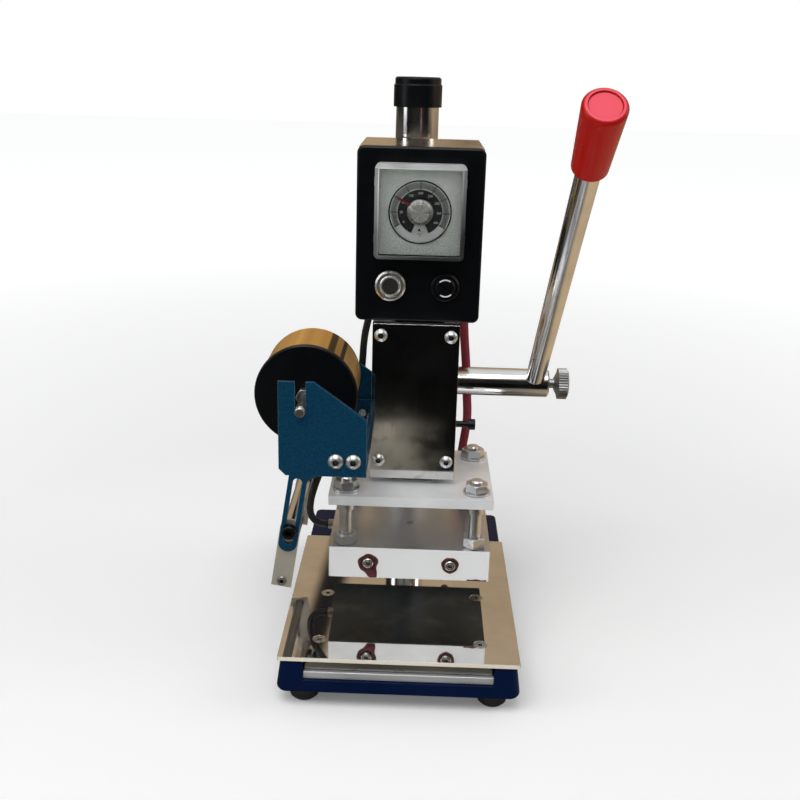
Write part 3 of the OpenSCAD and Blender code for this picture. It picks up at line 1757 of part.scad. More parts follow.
base();
rubber_feet();
slide_rail();
column();
column_cap();
column_bolt();
head_block();
clamp_screws();
cover_plate();
cover_screws();
gib_strip();
gib_screw();
shaft_bushes();
box_housing();
front_panel();
frame_screws();
thermostat_case();
thermostat_face();
thermostat_cover();
thermostat_knob();
button_bezel();
button_cap();
fuse_body();
fuse_cap();
mains_gland();
lead_grommets();
bracket_web();
bracket_front();
bracket_rear();
bracket_screws();
guide_bolt();
guide_strips();
foil_rod();
guide_roller();
roll_axle();
roll_discs();
roll_core();
foil_roll();
disc_nuts();
pinion_shaft();
return_spring();
retaining_ring();
lever_rod();
lever_grip();
lock_screw();
ram();
ram_bolt();
upper_plate();
posts();
post_nuts();
heat_block();
heater_cartridges();
heater_plugs();
thermocouple();
table_plate();
table_screws();
carriage();
keel();
heater_lead();
sensor_lead();
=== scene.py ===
# %% [markdown]
# # A hand foil press, dressed in Blender
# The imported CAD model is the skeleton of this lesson: every rigid piece is already in
# its place, in metres, and knows which body it moves with. Here we only add what CAD
# leaves out: the view, the light, the finishes, and the small soft or printed pieces.

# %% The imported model
import json
import math

import bmesh
import bpy
from mathutils import Matrix, Vector


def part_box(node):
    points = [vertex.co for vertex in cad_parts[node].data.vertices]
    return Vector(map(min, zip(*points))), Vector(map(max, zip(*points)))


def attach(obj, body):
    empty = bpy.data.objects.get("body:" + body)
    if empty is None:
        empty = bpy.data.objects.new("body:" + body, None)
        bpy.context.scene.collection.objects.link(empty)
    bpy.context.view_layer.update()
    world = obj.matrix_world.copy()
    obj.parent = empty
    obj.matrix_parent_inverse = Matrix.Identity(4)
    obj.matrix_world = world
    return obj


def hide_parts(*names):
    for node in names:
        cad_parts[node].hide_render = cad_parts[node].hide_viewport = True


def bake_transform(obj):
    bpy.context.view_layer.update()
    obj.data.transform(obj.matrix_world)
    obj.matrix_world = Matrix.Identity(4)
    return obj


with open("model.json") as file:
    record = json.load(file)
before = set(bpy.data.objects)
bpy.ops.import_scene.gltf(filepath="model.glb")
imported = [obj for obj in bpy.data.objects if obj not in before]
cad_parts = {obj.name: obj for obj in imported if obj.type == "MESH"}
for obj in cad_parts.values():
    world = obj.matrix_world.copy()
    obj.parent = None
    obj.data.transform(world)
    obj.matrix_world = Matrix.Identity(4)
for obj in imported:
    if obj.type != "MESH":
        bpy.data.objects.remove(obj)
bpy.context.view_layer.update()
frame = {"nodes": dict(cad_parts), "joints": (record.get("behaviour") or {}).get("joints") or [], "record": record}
nodes = frame["nodes"]
scene = bpy.context.scene
scene.view_settings.view_transform = "Standard"
MM = 0.001

# %% [markdown]
# ## The camera
# The photograph was taken from a little above the control box, with the lens tipped
# down and slightly turned. The straight edges of the table, the block and the box were
# enough to work the lens and the place out, so the render can be laid over the photo.

# %% Camera
IMAGE_PX = 800
FOCAL_PX = 1039.3
SENSOR_MM = 36
EYE = Vector((-0.3, -594.8, 361.7)) * MM
YAW, PITCH, ROLL = (math.radians(angle) for angle in (-0.99, 18.01, 1.54))


def aimed(eye, yaw, pitch, roll):
    """The matrix of a camera that looks along +y, then turns, tips down and rolls."""
    ahead = Vector((math.sin(yaw) * math.cos(pitch), math.cos(yaw) * math.cos(pitch), -math.sin(pitch)))
    right = Vector((math.cos(yaw), -math.sin(yaw), 0))
    up = right.cross(ahead)
    across = right * math.cos(roll) + up * math.sin(roll)
    above = up * math.cos(roll) - right * math.sin(roll)
    return Matrix.Translation(eye) @ Matrix((across, above, -ahead)).transposed().to_4x4()


lens = bpy.data.cameras.new("camera")
lens.sensor_width = SENSOR_MM
lens.lens = SENSOR_MM * FOCAL_PX / IMAGE_PX
lens.clip_start = 10 * MM
camera = bpy.data.objects.new("camera", lens)
camera.matrix_world = aimed(EYE, YAW, PITCH, ROLL)
scene.collection.objects.link(camera)
scene.camera = camera
print(f"lens {lens.lens:.1f} mm, {EYE.z:.2f} m above the bench")

# %% [markdown]
# ## A finish is a small machine of nodes
# Nearly every finish below is one Principled shader fed by two or three noises: one
# for slow changes of colour or gloss, one for the fine grain. All of them read Object
# coordinates, which are metres on this model, so a scale of 1000 is about a millimetre.

# %% Nodes and noises
def step(tree, kind, inputs=None, **settings):
    """Adds a node to a tree: a socket is linked to its input, a plain value is set on it."""
    made = tree.nodes.new(kind)
    for key, value in settings.items():
        setattr(made, key, value)
    for socket, value in (inputs or {}).items():
        if isinstance(value, bpy.types.NodeSocket):
            tree.links.new(value, made.inputs[socket])
        else:
            made.inputs[socket].default_value = value
    return made


def node_of(material, kind, inputs=None, **settings):
    return step(material.node_tree, kind, inputs, **settings)


def shader_of(material):
    return material.node_tree.nodes["Principled BSDF"]


def feed(material, value, socket):
    material.node_tree.links.new(value, shader_of(material).inputs[socket])


def start_finish(name, colour, roughness, metallic=0.0, **sockets):
    material = bpy.data.materials.new(name)
    material.use_nodes = True
    material.diffuse_color = (*colour, 1)
    shader = shader_of(material)
    shader.inputs["Base Color"].default_value = (*colour, 1)
    shader.inputs["Roughness"].default_value = roughness
    shader.inputs["Metallic"].default_value = metallic
    for socket, value in sockets.items():
        shader.inputs[socket.replace("_", " ")].default_value = value
    return material


def place_of(material, stretch=(1, 1, 1), centre=(0, 0, 0), turn=(0, 0, 0), source="Object"):
    """The piece's own coordinates, moved to centre, turned and then stretched."""
    spot = node_of(material, "ShaderNodeTexCoord").outputs[source]
    moved = node_of(material, "ShaderNodeVectorMath", {0: spot, 1: centre}, operation="SUBTRACT").outputs[0]
    turned = node_of(material, "ShaderNodeMapping", {"Vector": moved, "Rotation": turn, "Scale": stretch})
    return turned.outputs[0]


def noise(material, where, scale, detail=3.0):
    made = node_of(material, "ShaderNodeTexNoise", {"Vector": where, "Scale": scale, "Detail": detail})
    return made.outputs[0]


def spread(material, value, low, high, start=0.3, stop=0.7):
    """Goes from low to high while value goes from start to stop."""
    return node_of(material, "ShaderNodeMapRange", {0: value, 1: start, 2: stop, 3: low, 4: high}).outputs[0]


def combined(material, first, second, operation):
    return node_of(material, "ShaderNodeMath", {0: first, 1: second}, operation=operation).outputs[0]


def axes_of(material, where):
    return node_of(material, "ShaderNodeSeparateXYZ", {0: where}).outputs


def reach_of(material, where):
    return node_of(material, "ShaderNodeVectorMath", {0: where}, operation="LENGTH").outputs["Value"]


def agreement(material, first, second):
    """One where two directions are the same, nothing where they are square to each other."""
    made = node_of(material, "ShaderNodeVectorMath", {0: first, 1: second}, operation="DOT_PRODUCT")
    return made.outputs["Value"]


# %% [markdown]
# A finish changes from place to place by masks: values between nothing and one that
# pick out faces, worn edges or deep corners. A second colour is then laid over the first
# wherever the mask says so.

# %% Colours and masks
FRONT, UP, DOWN = (0, -1, 0), (0, 0, 1), (0, 0, -1)


def mixed(material, share, first, second):
    return node_of(material, "ShaderNodeMix", {0: share, 6: first, 7: second}, data_type="RGBA").outputs[2]


def tinted(material, share, first, second):
    return mixed(material, share, (*first, 1), (*second, 1))


def coloured_over(material, share, colour):
    """Lays a second colour over the finish wherever share is one."""
    below = shader_of(material).inputs["Base Color"].links[0].from_socket
    feed(material, mixed(material, share, below, (*colour, 1)), "Base Color")


def facing(material, way, start=0.90, stop=0.99):
    """One on faces that look along way, in the piece's own axes, and nothing on the others."""
    normal = node_of(material, "ShaderNodeTexCoord").outputs["Normal"]
    return spread(material, agreement(material, normal, way), 0, 1, start, stop)


def rounded_edge(material, radius):
    return node_of(material, "ShaderNodeBevel", {"Radius": radius}, samples=4).outputs[0]


def raised(material, height, strength, depth=0.2 * MM, smooth_edge=0.0):
    """A fine relief, on edges that are rounded off by smooth_edge."""
    inputs = {"Height": height, "Strength": strength, "Distance": depth}
    if smooth_edge:
        inputs["Normal"] = rounded_edge(material, smooth_edge)
    feed(material, node_of(material, "ShaderNodeBump", inputs).outputs[0], "Normal")


def edge_wear_and_highlight(material, radius):
    """One at edges, for worn paint and for painted edge highlights, nothing on the flats: where a rounded normal
    leaves the true one.
    """
    true = node_of(material, "ShaderNodeNewGeometry").outputs["Normal"]
    return spread(material, agreement(material, rounded_edge(material, radius), true), 1.0, 0.0, 0.80, 0.985)


def shade_in_hollows(material, reach, start=0.36, stop=0.66):
    """Painted shade: nearly one deep in sockets and corners, where little light reaches, nothing on open faces."""
    seen_sky = node_of(material, "ShaderNodeAmbientOcclusion", {"Distance": reach}, samples=8).outputs["AO"]
    return spread(material, seen_sky, 0.95, 0.0, start, stop)


# %% [markdown]
# ## Two leads down to the ram
# A maroon braided sleeve carries the heater's wires down the right side, and a black
# cable runs to the temperature sensor on the left. Both leave the control box through
# a grommet and end in the moving block. A tube swept along one smooth route is right
# here. It takes the place of the CAD lead, which is hidden.

# %% Routes of the leads
MIDDLE = Vector((6.1, 71.237, 0))
STEPS_BETWEEN = 6
HEATER_TOP, HEATER_END = Vector((34.5, 142, 214)), Vector((29.4, 144, 66.35))
SENSOR_TOP, SENSOR_END = Vector((-26.5, 129, 214)), Vector((-50.8, 112, 66.35))
HEATER_UPPER = ((0, 0, 4), (0, 0, -6), (1, 0, -22), (3, 0, -42), (4.5, 0, -62), (5.5, 1, -80))
HEATER_LOWER = ((9.4, 5, 50), (7.8, 13, 33), (4.8, 18.4, 17.4), (2.6, 17.4, 8.4), (0.8, 11.4, 2),
                (0, 4.6, 0), (0, 0.4, 0))
SENSOR_UPPER = ((0, 0, 4), (0, 0, -6), (-3, 1, -22), (-4.4, 2, -42), (-5.4, 2, -60))
SENSOR_LOWER = ((12.8, 18, 70), (2.8, 14.2, 55), (-3.8, 7.6, 41), (-8.2, 3.2, 29.6), (-11, 1, 20.6),
                (-12.2, 0.2, 13.8), (-12.2, 0, 8.6), (-10.9, 0, 4.5), (-8, 0, 1.4), (-4.3, 0, 0.1),
                (-0.4, 0, 0))


def in_frame(anchor, offsets):
    """Points given in millimetres from an anchor, in the frame's metres."""
    return [(anchor + Vector(offset) - MIDDLE) * MM for offset in offsets]


def smooth(points, steps):
    """A curve through all the points, with steps between each two."""
    route = []
    for i in range(len(points) - 1):
        a, b, c, d = (points[max(0, min(len(points) - 1, i + k))] for k in (-1, 0, 1, 2))
        for t in (k / steps for k in range(steps)):
            route.append(0.5 * (2 * b + (c - a) * t + (2 * a - 5 * b + 4 * c - d) * t ** 2
                                + (3 * b - a - 3 * c + d) * t ** 3))
    return route + [points[-1]]


def length_of(route):
    return sum((b - a).length for a, b in zip(route, route[1:]))


heater_route = smooth(in_frame(HEATER_TOP, HEATER_UPPER) + in_frame(HEATER_END, HEATER_LOWER), STEPS_BETWEEN)
sensor_route = smooth(in_frame(SENSOR_TOP, SENSOR_UPPER) + in_frame(SENSOR_END, SENSOR_LOWER), STEPS_BETWEEN)
print(f"heater lead {length_of(heater_route):.3f} m, sensor lead {length_of(sensor_route):.3f} m")


# %% [markdown]
# The sleeve is woven from two sets of strands that cross, so its pattern has to follow
# the tube. The sweep writes a UV map for that: u runs once round, v runs along in
# steps of one circumference, which keeps the weave square.

# %% Tubes along the routes
def link(name, mesh, material):
    made = bpy.data.objects.new(name, mesh)
    mesh.materials.append(material)
    scene.collection.objects.link(made)
    return made


def from_shape(name, shape, material):
    mesh = bpy.data.meshes.new(name)
    shape.to_mesh(mesh)
    shape.free()
    return link(name, mesh, material)


def tube(name, route, radius, material, sides=24):
    shape = bmesh.new()
    weave = shape.loops.layers.uv.new("weave")
    turns = [2 * math.pi * k / sides for k in range(sides)]
    rings, run, across = [], [0.0], Vector((1, 0, 0))
    for i, at in enumerate(route):
        ahead = (route[min(i + 1, len(route) - 1)] - route[max(i - 1, 0)]).normalized()
        across = (across - ahead * across.dot(ahead)).normalized()
        side = ahead.cross(across)
        rings.append([shape.verts.new(at + (across * math.cos(t) + side * math.sin(t)) * radius)
                      for t in turns])
        if i:
            run.append(run[-1] + (at - route[i - 1]).length / (2 * math.pi * radius))
    for i in range(len(rings) - 1):
        for k in range(sides):
            n = (k + 1) % sides
            face = shape.faces.new((rings[i][k], rings[i][n], rings[i + 1][n], rings[i + 1][k]))
            face.smooth = True
            corners = ((k, run[i]), (k + 1, run[i]), (k + 1, run[i + 1]), (k, run[i + 1]))
            for loop, (u, v) in zip(face.loops, corners):
                loop[weave].uv = (u / sides, v)
    shape.faces.new(rings[0][::-1])
    shape.faces.new(rings[-1])
    return from_shape(name, shape, material)


# %% [markdown]
# The strands are two wave textures on that UV map, turned a quarter against each other.
# The sheath of the cable is plain black plastic with a few scuffs.

# %% Braided sleeve and cable sheath
sleeve = start_finish("maroon_sleeve", (0.22, 0.014, 0.028), 0.72)
strands = []
for turn in (math.pi / 4, -math.pi / 4):
    run_of = place_of(sleeve, turn=(0, 0, turn), source="UV")
    strands.append(node_of(sleeve, "ShaderNodeTexWave", {"Vector": run_of, "Scale": 3.6}).outputs[1])
crossing = combined(sleeve, strands[0], strands[1], "MAXIMUM")
feed(sleeve, tinted(sleeve, crossing, (0.10, 0.006, 0.012), (0.30, 0.020, 0.040)), "Base Color")
raised(sleeve, crossing, 0.5, 0.4 * MM)

sheath = start_finish("black_cable", (0.018, 0.018, 0.019), 0.42)
scuff = noise(sheath, place_of(sheath), 350)
feed(sheath, spread(sheath, scuff, 0.32, 0.55), "Roughness")
raised(sheath, noise(sheath, place_of(sheath), 2500), 0.08)

HEATER_LEAD_D, SENSOR_LEAD_D = 5.8 * MM, 4.6 * MM
heater_lead = tube("heater_sleeve", heater_route, HEATER_LEAD_D / 2, sleeve)
sensor_lead = tube("sensor_cable", sensor_route, SENSOR_LEAD_D / 2, sheath)
for lead, route, thick, node in ((heater_lead, heater_route, HEATER_LEAD_D, "heater_lead"),
                                 (sensor_lead, sensor_route, SENSOR_LEAD_D, "sensor_lead")):
    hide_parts(node)
    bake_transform(lead)

# %% [markdown]
# ## Paint
# The base is sprayed navy, smooth with a little orange peel. The foil holder is in a
# hammered teal enamel, whose dimples are a smooth Voronoi pattern of about two millimetres.
# On both, the coat is thin at the edges, and bare metal shows through a little. On the teal,
# the paler edges are also painted highlights, where the edges catch the light.

# %% Navy and teal
finishes = {}

navy = start_finish("navy_paint", (0.001, 0.007, 0.040), 0.26, Specular_IOR_Level=0.08)
slow = noise(navy, place_of(navy), 40)
feed(navy, tinted(navy, slow, (0.0006, 0.0055, 0.028), (0.0012, 0.009, 0.048)), "Base Color")
worn = combined(navy, edge_wear_and_highlight(navy, 0.6 * MM), noise(navy, place_of(navy), 300), "MULTIPLY")
coloured_over(navy, spread(navy, worn, 0, 0.55, 0.35, 0.6), (0.03, 0.06, 0.14))
raised(navy, noise(navy, place_of(navy), 900), 0.12, 0.2 * MM, 0.7 * MM)
finishes["navy_paint"] = navy

teal = start_finish("teal_paint", (0.003, 0.038, 0.075), 0.30, Specular_IOR_Level=0.11)
dimples = node_of(teal, "ShaderNodeTexVoronoi", {"Vector": place_of(teal), "Scale": 520.0, "Smoothness": 1.0},
                  feature="SMOOTH_F1").outputs["Distance"]
mottle = spread(teal, noise(teal, place_of(teal), 700, 4), 0, 1)
feed(teal, tinted(teal, mottle, (0.001, 0.028, 0.061), (0.002, 0.049, 0.101)), "Base Color")
# Teal edges paler: worn paint, and a painted highlight where the edges catch the light.
coloured_over(teal, spread(teal, edge_wear_and_highlight(teal, 0.6 * MM), 0, 0.6), (0.22, 0.30, 0.34))
raised(teal, dimples, 0.25, 0.4 * MM, 0.4 * MM)
finishes["teal_paint"] = teal
PAINTS = len(finishes)
print("paint:", list(finishes))

# %% [markdown]
# ## Bare metals
# A milled face and a polished one differ in how far the fine scratches spread the
# light. The scratches are noise stretched along the tool's path: long on one axis,
# short on the others. Chrome only carries faint wiping marks.

# %% Milled and brushed metals
MILLED, BRUSHED, EVEN = (0.06, 1, 1), (1, 1, 0.03), (1, 1, 1)


def scratched_metal(name, colour, rough, stretch, grain, depth, edge=0.4 * MM, **sockets):
    made = start_finish(name, colour, sum(rough) / 2, 1.0, **sockets)
    lines = noise(made, place_of(made, stretch), grain, 4)
    cloud = noise(made, place_of(made), 45, 2)
    feed(made, spread(made, combined(made, lines, cloud, "ADD"), *rough, 0.7, 1.3), "Roughness")
    dull = tuple(0.86 * part for part in colour)
    feed(made, tinted(made, spread(made, cloud, 0, 1), dull, colour), "Base Color")
    raised(made, lines, depth, 0.1 * MM, edge)
    finishes[name] = made
    return made


scratched_metal("aluminium_bright", (0.88, 0.89, 0.90), (0.40, 0.54), MILLED, 1800, 0.08, Metallic=0.7)
# The carriage's aluminium is darker, as painted shade under the table's lip.
scratched_metal("dull_aluminium", (0.42, 0.42, 0.42), (0.26, 0.40), MILLED, 1800, 0.06)
# The box's brushed steel is tinted tan on all its faces: a painted reflection of a tan wall.
scratched_metal("brushed_steel", (0.78, 0.69, 0.55), (0.17, 0.26), BRUSHED, 1500, 0.02)
scratched_metal("bright_steel", (0.60, 0.60, 0.58), (0.16, 0.30), (1, 1, 0.4), 900, 0.05)
scratched_metal("strip_steel", (0.74, 0.69, 0.60), (0.34, 0.50), (1, 1, 0.1), 900, 0.05, Metallic=0.7)
scratched_metal("satin_steel", (0.90, 0.90, 0.89), (0.34, 0.46), EVEN, 900, 0.05)
scratched_metal("chrome_steel", (0.78, 0.78, 0.78), (0.09, 0.16), (1, 1, 0.05), 400, 0.015)
scratched_metal("zinc", (0.44, 0.45, 0.46), (0.28, 0.50), EVEN, 700, 0.10)
scratched_metal("zinc_bright", (0.76, 0.77, 0.78), (0.26, 0.38), EVEN, 900, 0.05)
scratched_metal("bronze", (0.50, 0.32, 0.12), (0.25, 0.42), (1, 1, 0.1), 900, 0.08)
scratched_metal("cartridge_steel", (0.34, 0.31, 0.28), (0.30, 0.46), (1, 0.1, 1), 700, 0.08)
scratched_metal("black_steel", (0.035, 0.035, 0.038), (0.34, 0.52), EVEN, 900, 0.08)
# Painted shade: sockets and corners of bright steel and bright zinc are darkened.
for name in ("bright_steel", "zinc_bright"):
    coloured_over(finishes[name], shade_in_hollows(finishes[name], 2.5 * MM), (0.035, 0.034, 0.033))
print("metals:", len(finishes) - PAINTS)

# %% [markdown]
# Three metals need a mask. The polished cover is smudged by fingers, the sockets of the
# screws and the rims where they sit are darkened as painted shade, and the mirror table
# shows a pale matt edge at its front, tinted tan as a painted reflection of a tan wall.

# %% Cover, screws and mirror
cover_metal = scratched_metal("polished_steel", (0.87, 0.87, 0.86), (0.05, 0.11), BRUSHED, 1500, 0.01)
smudges = noise(cover_metal, place_of(cover_metal), 120, 5)
coloured_over(cover_metal, spread(cover_metal, smudges, 0, 0.40, 0.50, 0.64), (0.36, 0.35, 0.32))

screw_metal = scratched_metal("screw_zinc", (0.66, 0.68, 0.69), (0.24, 0.40), EVEN, 800, 0.35, Metallic=0.85)
# Painted shade: the sockets and the rims where the screws sit are darkened.
coloured_over(screw_metal, shade_in_hollows(screw_metal, 3 * MM, 0.52, 0.80), (0.004, 0.004, 0.004))

mirror = scratched_metal("mirror_steel", (0.82, 0.81, 0.80), (0.02, 0.06), (1, 0.2, 1), 60, 0.0, 0.3 * MM)
# The front edge is matt, and its tan colour is a painted reflection of a tan wall.
front_edge_and_reflection = facing(mirror, FRONT, 0.5, 0.9)
coloured_over(mirror, front_edge_and_reflection, (0.95, 0.87, 0.74))
feed(mirror, spread(mirror, front_edge_and_reflection, 0.04, 0.50, 0, 1), "Roughness")
feed(mirror, spread(mirror, front_edge_and_reflection, 1.0, 0.2, 0, 1), "Metallic")
print("cover, screws and mirror ready")

# %% [markdown]
# The heat block is the same aluminium, but its working face, which looks down, is coloured
# nearly black with a grey cloud, its top is darker, and its front is whiter and matt. Each is
# picked out by the way a face looks. The plate above the block has the same matt front.

# %% Heat block and plate
def matt_front(material, metallic):
    """Faces that look forwards scatter light more: metallic is given for the rest and for them."""
    front = facing(material, FRONT)
    feed(material, spread(material, front, *metallic, 0, 1), "Metallic")
    feed(material, spread(material, front, 0.34, 0.55, 0, 1), "Roughness")


ALUMINIUM = (0.90, 0.91, 0.92)
block_metal = scratched_metal("block_aluminium", ALUMINIUM, (0.28, 0.42), MILLED, 1800, 0.08)
darkened = facing(block_metal, DOWN)
coloured_over(block_metal, darkened, (0.090, 0.114, 0.134))
grey_cloud = spread(block_metal, noise(block_metal, place_of(block_metal), 55, 4), 0, 0.35, 0.50, 0.68)
coloured_over(block_metal, combined(block_metal, darkened, grey_cloud, "MULTIPLY"), (0.26, 0.27, 0.27))
darker_top = spread(block_metal, facing(block_metal, UP), 0, 0.45, 0, 1)
coloured_over(block_metal, darker_top, (0.40, 0.39, 0.38))
coloured_over(block_metal, facing(block_metal, FRONT), (0.98, 1.0, 1.0))
matt_front(block_metal, (1.0, 0.25))
plate_metal = scratched_metal("plate_aluminium", ALUMINIUM, (0.34, 0.50), MILLED, 1800, 0.08)
matt_front(plate_metal, (0.30, 0.25))
print("heat block with a burnt face")


# %% [markdown]
# ## Plastics, rubber, card and foil
# Mouldings have a fine even grain and pick up dust and finger marks, which change their
# gloss more than their colour. The thermostat's silver face is speckled, and its colour is
# painted lighter towards its top, as light where the lamp reaches it.

# %% Plastics and rubber
def moulded(name, colour, rough, grain=1400, depth=0.06, edge=0.5 * MM, **sockets):
    made = start_finish(name, colour, sum(rough) / 2, **sockets)
    feed(made, spread(made, noise(made, place_of(made), 90), *rough), "Roughness")
    fine = noise(made, place_of(made), grain, 2)
    lit = tuple(min(1, 1.3 * part) for part in colour)
    feed(made, tinted(made, spread(made, fine, 0, 1), colour, lit), "Base Color")
    raised(made, fine, depth, 0.1 * MM, edge)
    finishes[name] = made
    return made


moulded("black_plastic", (0.0022, 0.0028, 0.0038), (0.28, 0.40), Specular_IOR_Level=0.24)
moulded("rubber_black", (0.016, 0.016, 0.017), (0.62, 0.80), 900, 0.15)
grip_red = moulded("red_plastic", (0.34, 0.005, 0.003), (0.22, 0.28), 3000, 0.0, Specular_IOR_Level=0.18)

face_low, face_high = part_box("thermostat_face")
face_centre, face_half = (face_low + face_high) / 2, (face_high - face_low) / 2
face_silver = moulded("silver_face", (0.58, 0.62, 0.58), (0.35, 0.55), 900, 0.20)
speckle = noise(face_silver, place_of(face_silver), 1100, 4)
coloured_over(face_silver, spread(face_silver, speckle, 0, 0.55, 0.45, 0.62), (0.36, 0.40, 0.36))
patchy = noise(face_silver, place_of(face_silver), 70, 2)
coloured_over(face_silver, spread(face_silver, patchy, 0, 0.35, 0.45, 0.65), (0.70, 0.74, 0.72))
# Painted light: the face's colour is lighter towards its top.
rise = axes_of(face_silver, place_of(face_silver, centre=face_centre))["Z"]
coloured_over(face_silver, spread(face_silver, rise, 0, 0.75, -face_half.z, face_half.z), (0.90, 0.95, 0.92))
print("black, rubber, red and silver mouldings")

# %% [markdown]
# The push button is dark with a bright metal rim. The distance from its own axis tells
# the rim from the middle.

# %% Push button
button_low, button_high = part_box("button_cap")
button_r = (button_high.x - button_low.x) / 2
button_grey = moulded("grey_cap", (0.022, 0.021, 0.019), (0.20, 0.32))
from_axis = reach_of(button_grey, place_of(button_grey, (1, 0, 1), (button_low + button_high) / 2))
bright_rim = spread(button_grey, from_axis, 0, 1, 0.76 * button_r, 0.80 * button_r)
coloured_over(button_grey, bright_rim, (0.80, 0.80, 0.78))
feed(button_grey, spread(button_grey, bright_rim, 0, 0.8, 0, 1), "Metallic")
print(f"button of {2 * button_r / MM:.1f} mm")

# %% [markdown]
# The thermostat's cover is a clear moulding whose thick rim looks cloudy. The rim's colour
# is painted: dark as painted shade on the right and below, painted light above and on the
# left, and a bright painted highlight along its inner edge and its top. How far a point
# lies past the silver face tells the rim from the window.

# %% Clear cover
clear = moulded("clear_plastic", (0.93, 0.95, 0.94), (0.03, 0.10), 200, 0.0,
                Transmission_Weight=1.0, IOR=1.46)
off_face = axes_of(clear, place_of(clear, centre=face_centre))
past_side, past_top = (combined(clear, combined(clear, off_face[axis], 0.0, "ABSOLUTE"), half, "SUBTRACT")
                       for axis, half in (("X", face_half.x), ("Z", face_half.z)))
past_face = combined(clear, past_side, past_top, "MAXIMUM")
clear_rim = spread(clear, past_face, 0, 1, -0.4 * MM, 0.0)
cloudy = combined(clear, clear_rim, spread(clear, noise(clear, place_of(clear), 90), 0.7, 1.0), "MULTIPLY")
feed(clear, spread(clear, cloudy, 1.0, 0.30, 0, 1), "Transmission Weight")
feed(clear, spread(clear, cloudy, 0.04, 0.40, 0, 1), "Roughness")

upwards = combined(clear, off_face["Z"], 0.45 / face_half.z, "MULTIPLY")
leftwards = combined(clear, off_face["X"], -0.25 / face_half.x, "MULTIPLY")
lit_side = combined(clear, combined(clear, upwards, leftwards, "ADD"), 0.5, "ADD")
lit_side = spread(clear, lit_side, 0, 1, 0, 1)
painted_inner_highlight = combined(clear, clear_rim, spread(clear, past_face, 1, 0, 0.3 * MM, 0.7 * MM), "MULTIPLY")
painted_inner_highlight = combined(clear, painted_inner_highlight, combined(clear, lit_side, 2.0, "POWER"), "MULTIPLY")
painted_top_highlight = combined(clear, cloudy, spread(clear, past_top, 0, 0.85, 0.0, 0.3 * MM), "MULTIPLY")
painted_top_highlight = combined(clear, painted_top_highlight, spread(clear, off_face["Z"], 0, 1, 0.0, 0.1 * MM), "MULTIPLY")
# Painted shade over the rim, painted light above and on the left, painted highlights along the inner edge and top.
coloured_over(clear, clear_rim, (0.045, 0.046, 0.047))
coloured_over(clear, combined(clear, clear_rim, lit_side, "MULTIPLY"), (0.42, 0.43, 0.42))
coloured_over(clear, combined(clear, painted_inner_highlight, painted_top_highlight, "MAXIMUM"), (0.95, 0.96, 0.95))
print("clear cover with a cloudy rim")

# %% [markdown]
# The foil roll is a film wound many times round a card core: thin rings on its ends, and
# soft bands along its outside where the film is loose, which also stand as painted highlights.
# Two dark bands across it are painted reflections of the dark box and column.

# %% Card and gold foil
REFLECTED_DARK_BANDS = ((61.5, 0.014), (46, 0.009))
axle_low, axle_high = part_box("roll_axle")
axle_centre = (axle_low + axle_high) / 2
foil = start_finish("gold_foil", (0.60, 0.36, 0.10), 0.40, 0.9)
around = place_of(foil, centre=axle_centre, turn=(math.radians(90), 0, 0))
angle = node_of(foil, "ShaderNodeTexGradient", {"Vector": around}, gradient_type="RADIAL").outputs[1]
bands = node_of(foil, "ShaderNodeCombineXYZ", {0: angle}).outputs[0]
loose = noise(foil, bands, 26, 2)
# Soft bands round the roll: loose film, and painted highlights along its length.
feed(foil, tinted(foil, spread(foil, loose, 0, 1), (0.74, 0.40, 0.080), (0.93, 0.60, 0.17)), "Base Color")
# Painted reflections: two dark bands, of the dark box and column.
for degrees, half in REFLECTED_DARK_BANDS:
    away = combined(foil, angle, 0.5 - degrees / 360, "SUBTRACT")
    away = combined(foil, away, 0.0, "ABSOLUTE")
    coloured_over(foil, spread(foil, away, 0.95, 0.0, half * 0.7, half), (0.040, 0.014, 0.005))
wound = node_of(foil, "ShaderNodeTexWave", {"Vector": around, "Scale": 900.0, "Distortion": 1.0},
                wave_type="RINGS", rings_direction="Z").outputs[1]
feed(foil, spread(foil, loose, 0.34, 0.50), "Roughness")
raised(foil, wound, 0.10, 0.1 * MM)

card = start_finish("card", (0.30, 0.21, 0.11), 0.85)
fibres = noise(card, place_of(card, (1, 0.2, 1)), 900, 5)
feed(card, tinted(card, fibres, (0.22, 0.15, 0.08), (0.38, 0.28, 0.16)), "Base Color")
raised(card, fibres, 0.2)
finishes.update(gold_foil=foil, card=card, maroon_sleeve=sleeve, black_cable=sheath)
print("finishes:", len(finishes))

# %% [markdown]
# The red grip's end disc is painted paler: a painted highlight where the light falls on the
# end. The piece's own normal tells the end from the sides, and it turns with the lever.

# %% Painted highlight on the end of the grip
lever_joint = next(joint for joint in frame["joints"] if joint["name"] == "lever_turn")
pivot = Vector(lever_joint["pos_m"])
grip_low, grip_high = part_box("lever_grip")
lever_way = (grip_low + grip_high) / 2 - pivot
lever_way.x = 0
lever_way.normalize()
# Painted highlight: the end of the grip is paler.
coloured_over(grip_red, facing(grip_red, lever_way), (0.88, 0.100, 0.140))
print("grip ends towards", tuple(round(part, 3) for part in lever_way))

# %% [markdown]
# The thermostat's knob was turned on a lathe, so its end catches the light in a fan. Here
# the fan is painted into its colour: streaks of painted highlight and shade that depend
# only on the angle round the knob's own axis.

# %% Turned knob
knob_low, knob_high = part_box("thermostat_knob")
knob_centre = (knob_low + knob_high) / 2
turned = start_finish("turned_knob", (0.52, 0.51, 0.48), 0.35, 0.7)
spun = place_of(turned, centre=knob_centre, turn=(math.radians(90), 0, 0))
fan = node_of(turned, "ShaderNodeTexGradient", {"Vector": spun}, gradient_type="RADIAL").outputs[1]
streaks = noise(turned, node_of(turned, "ShaderNodeCombineXYZ", {0: fan}).outputs[0], 22, 2)
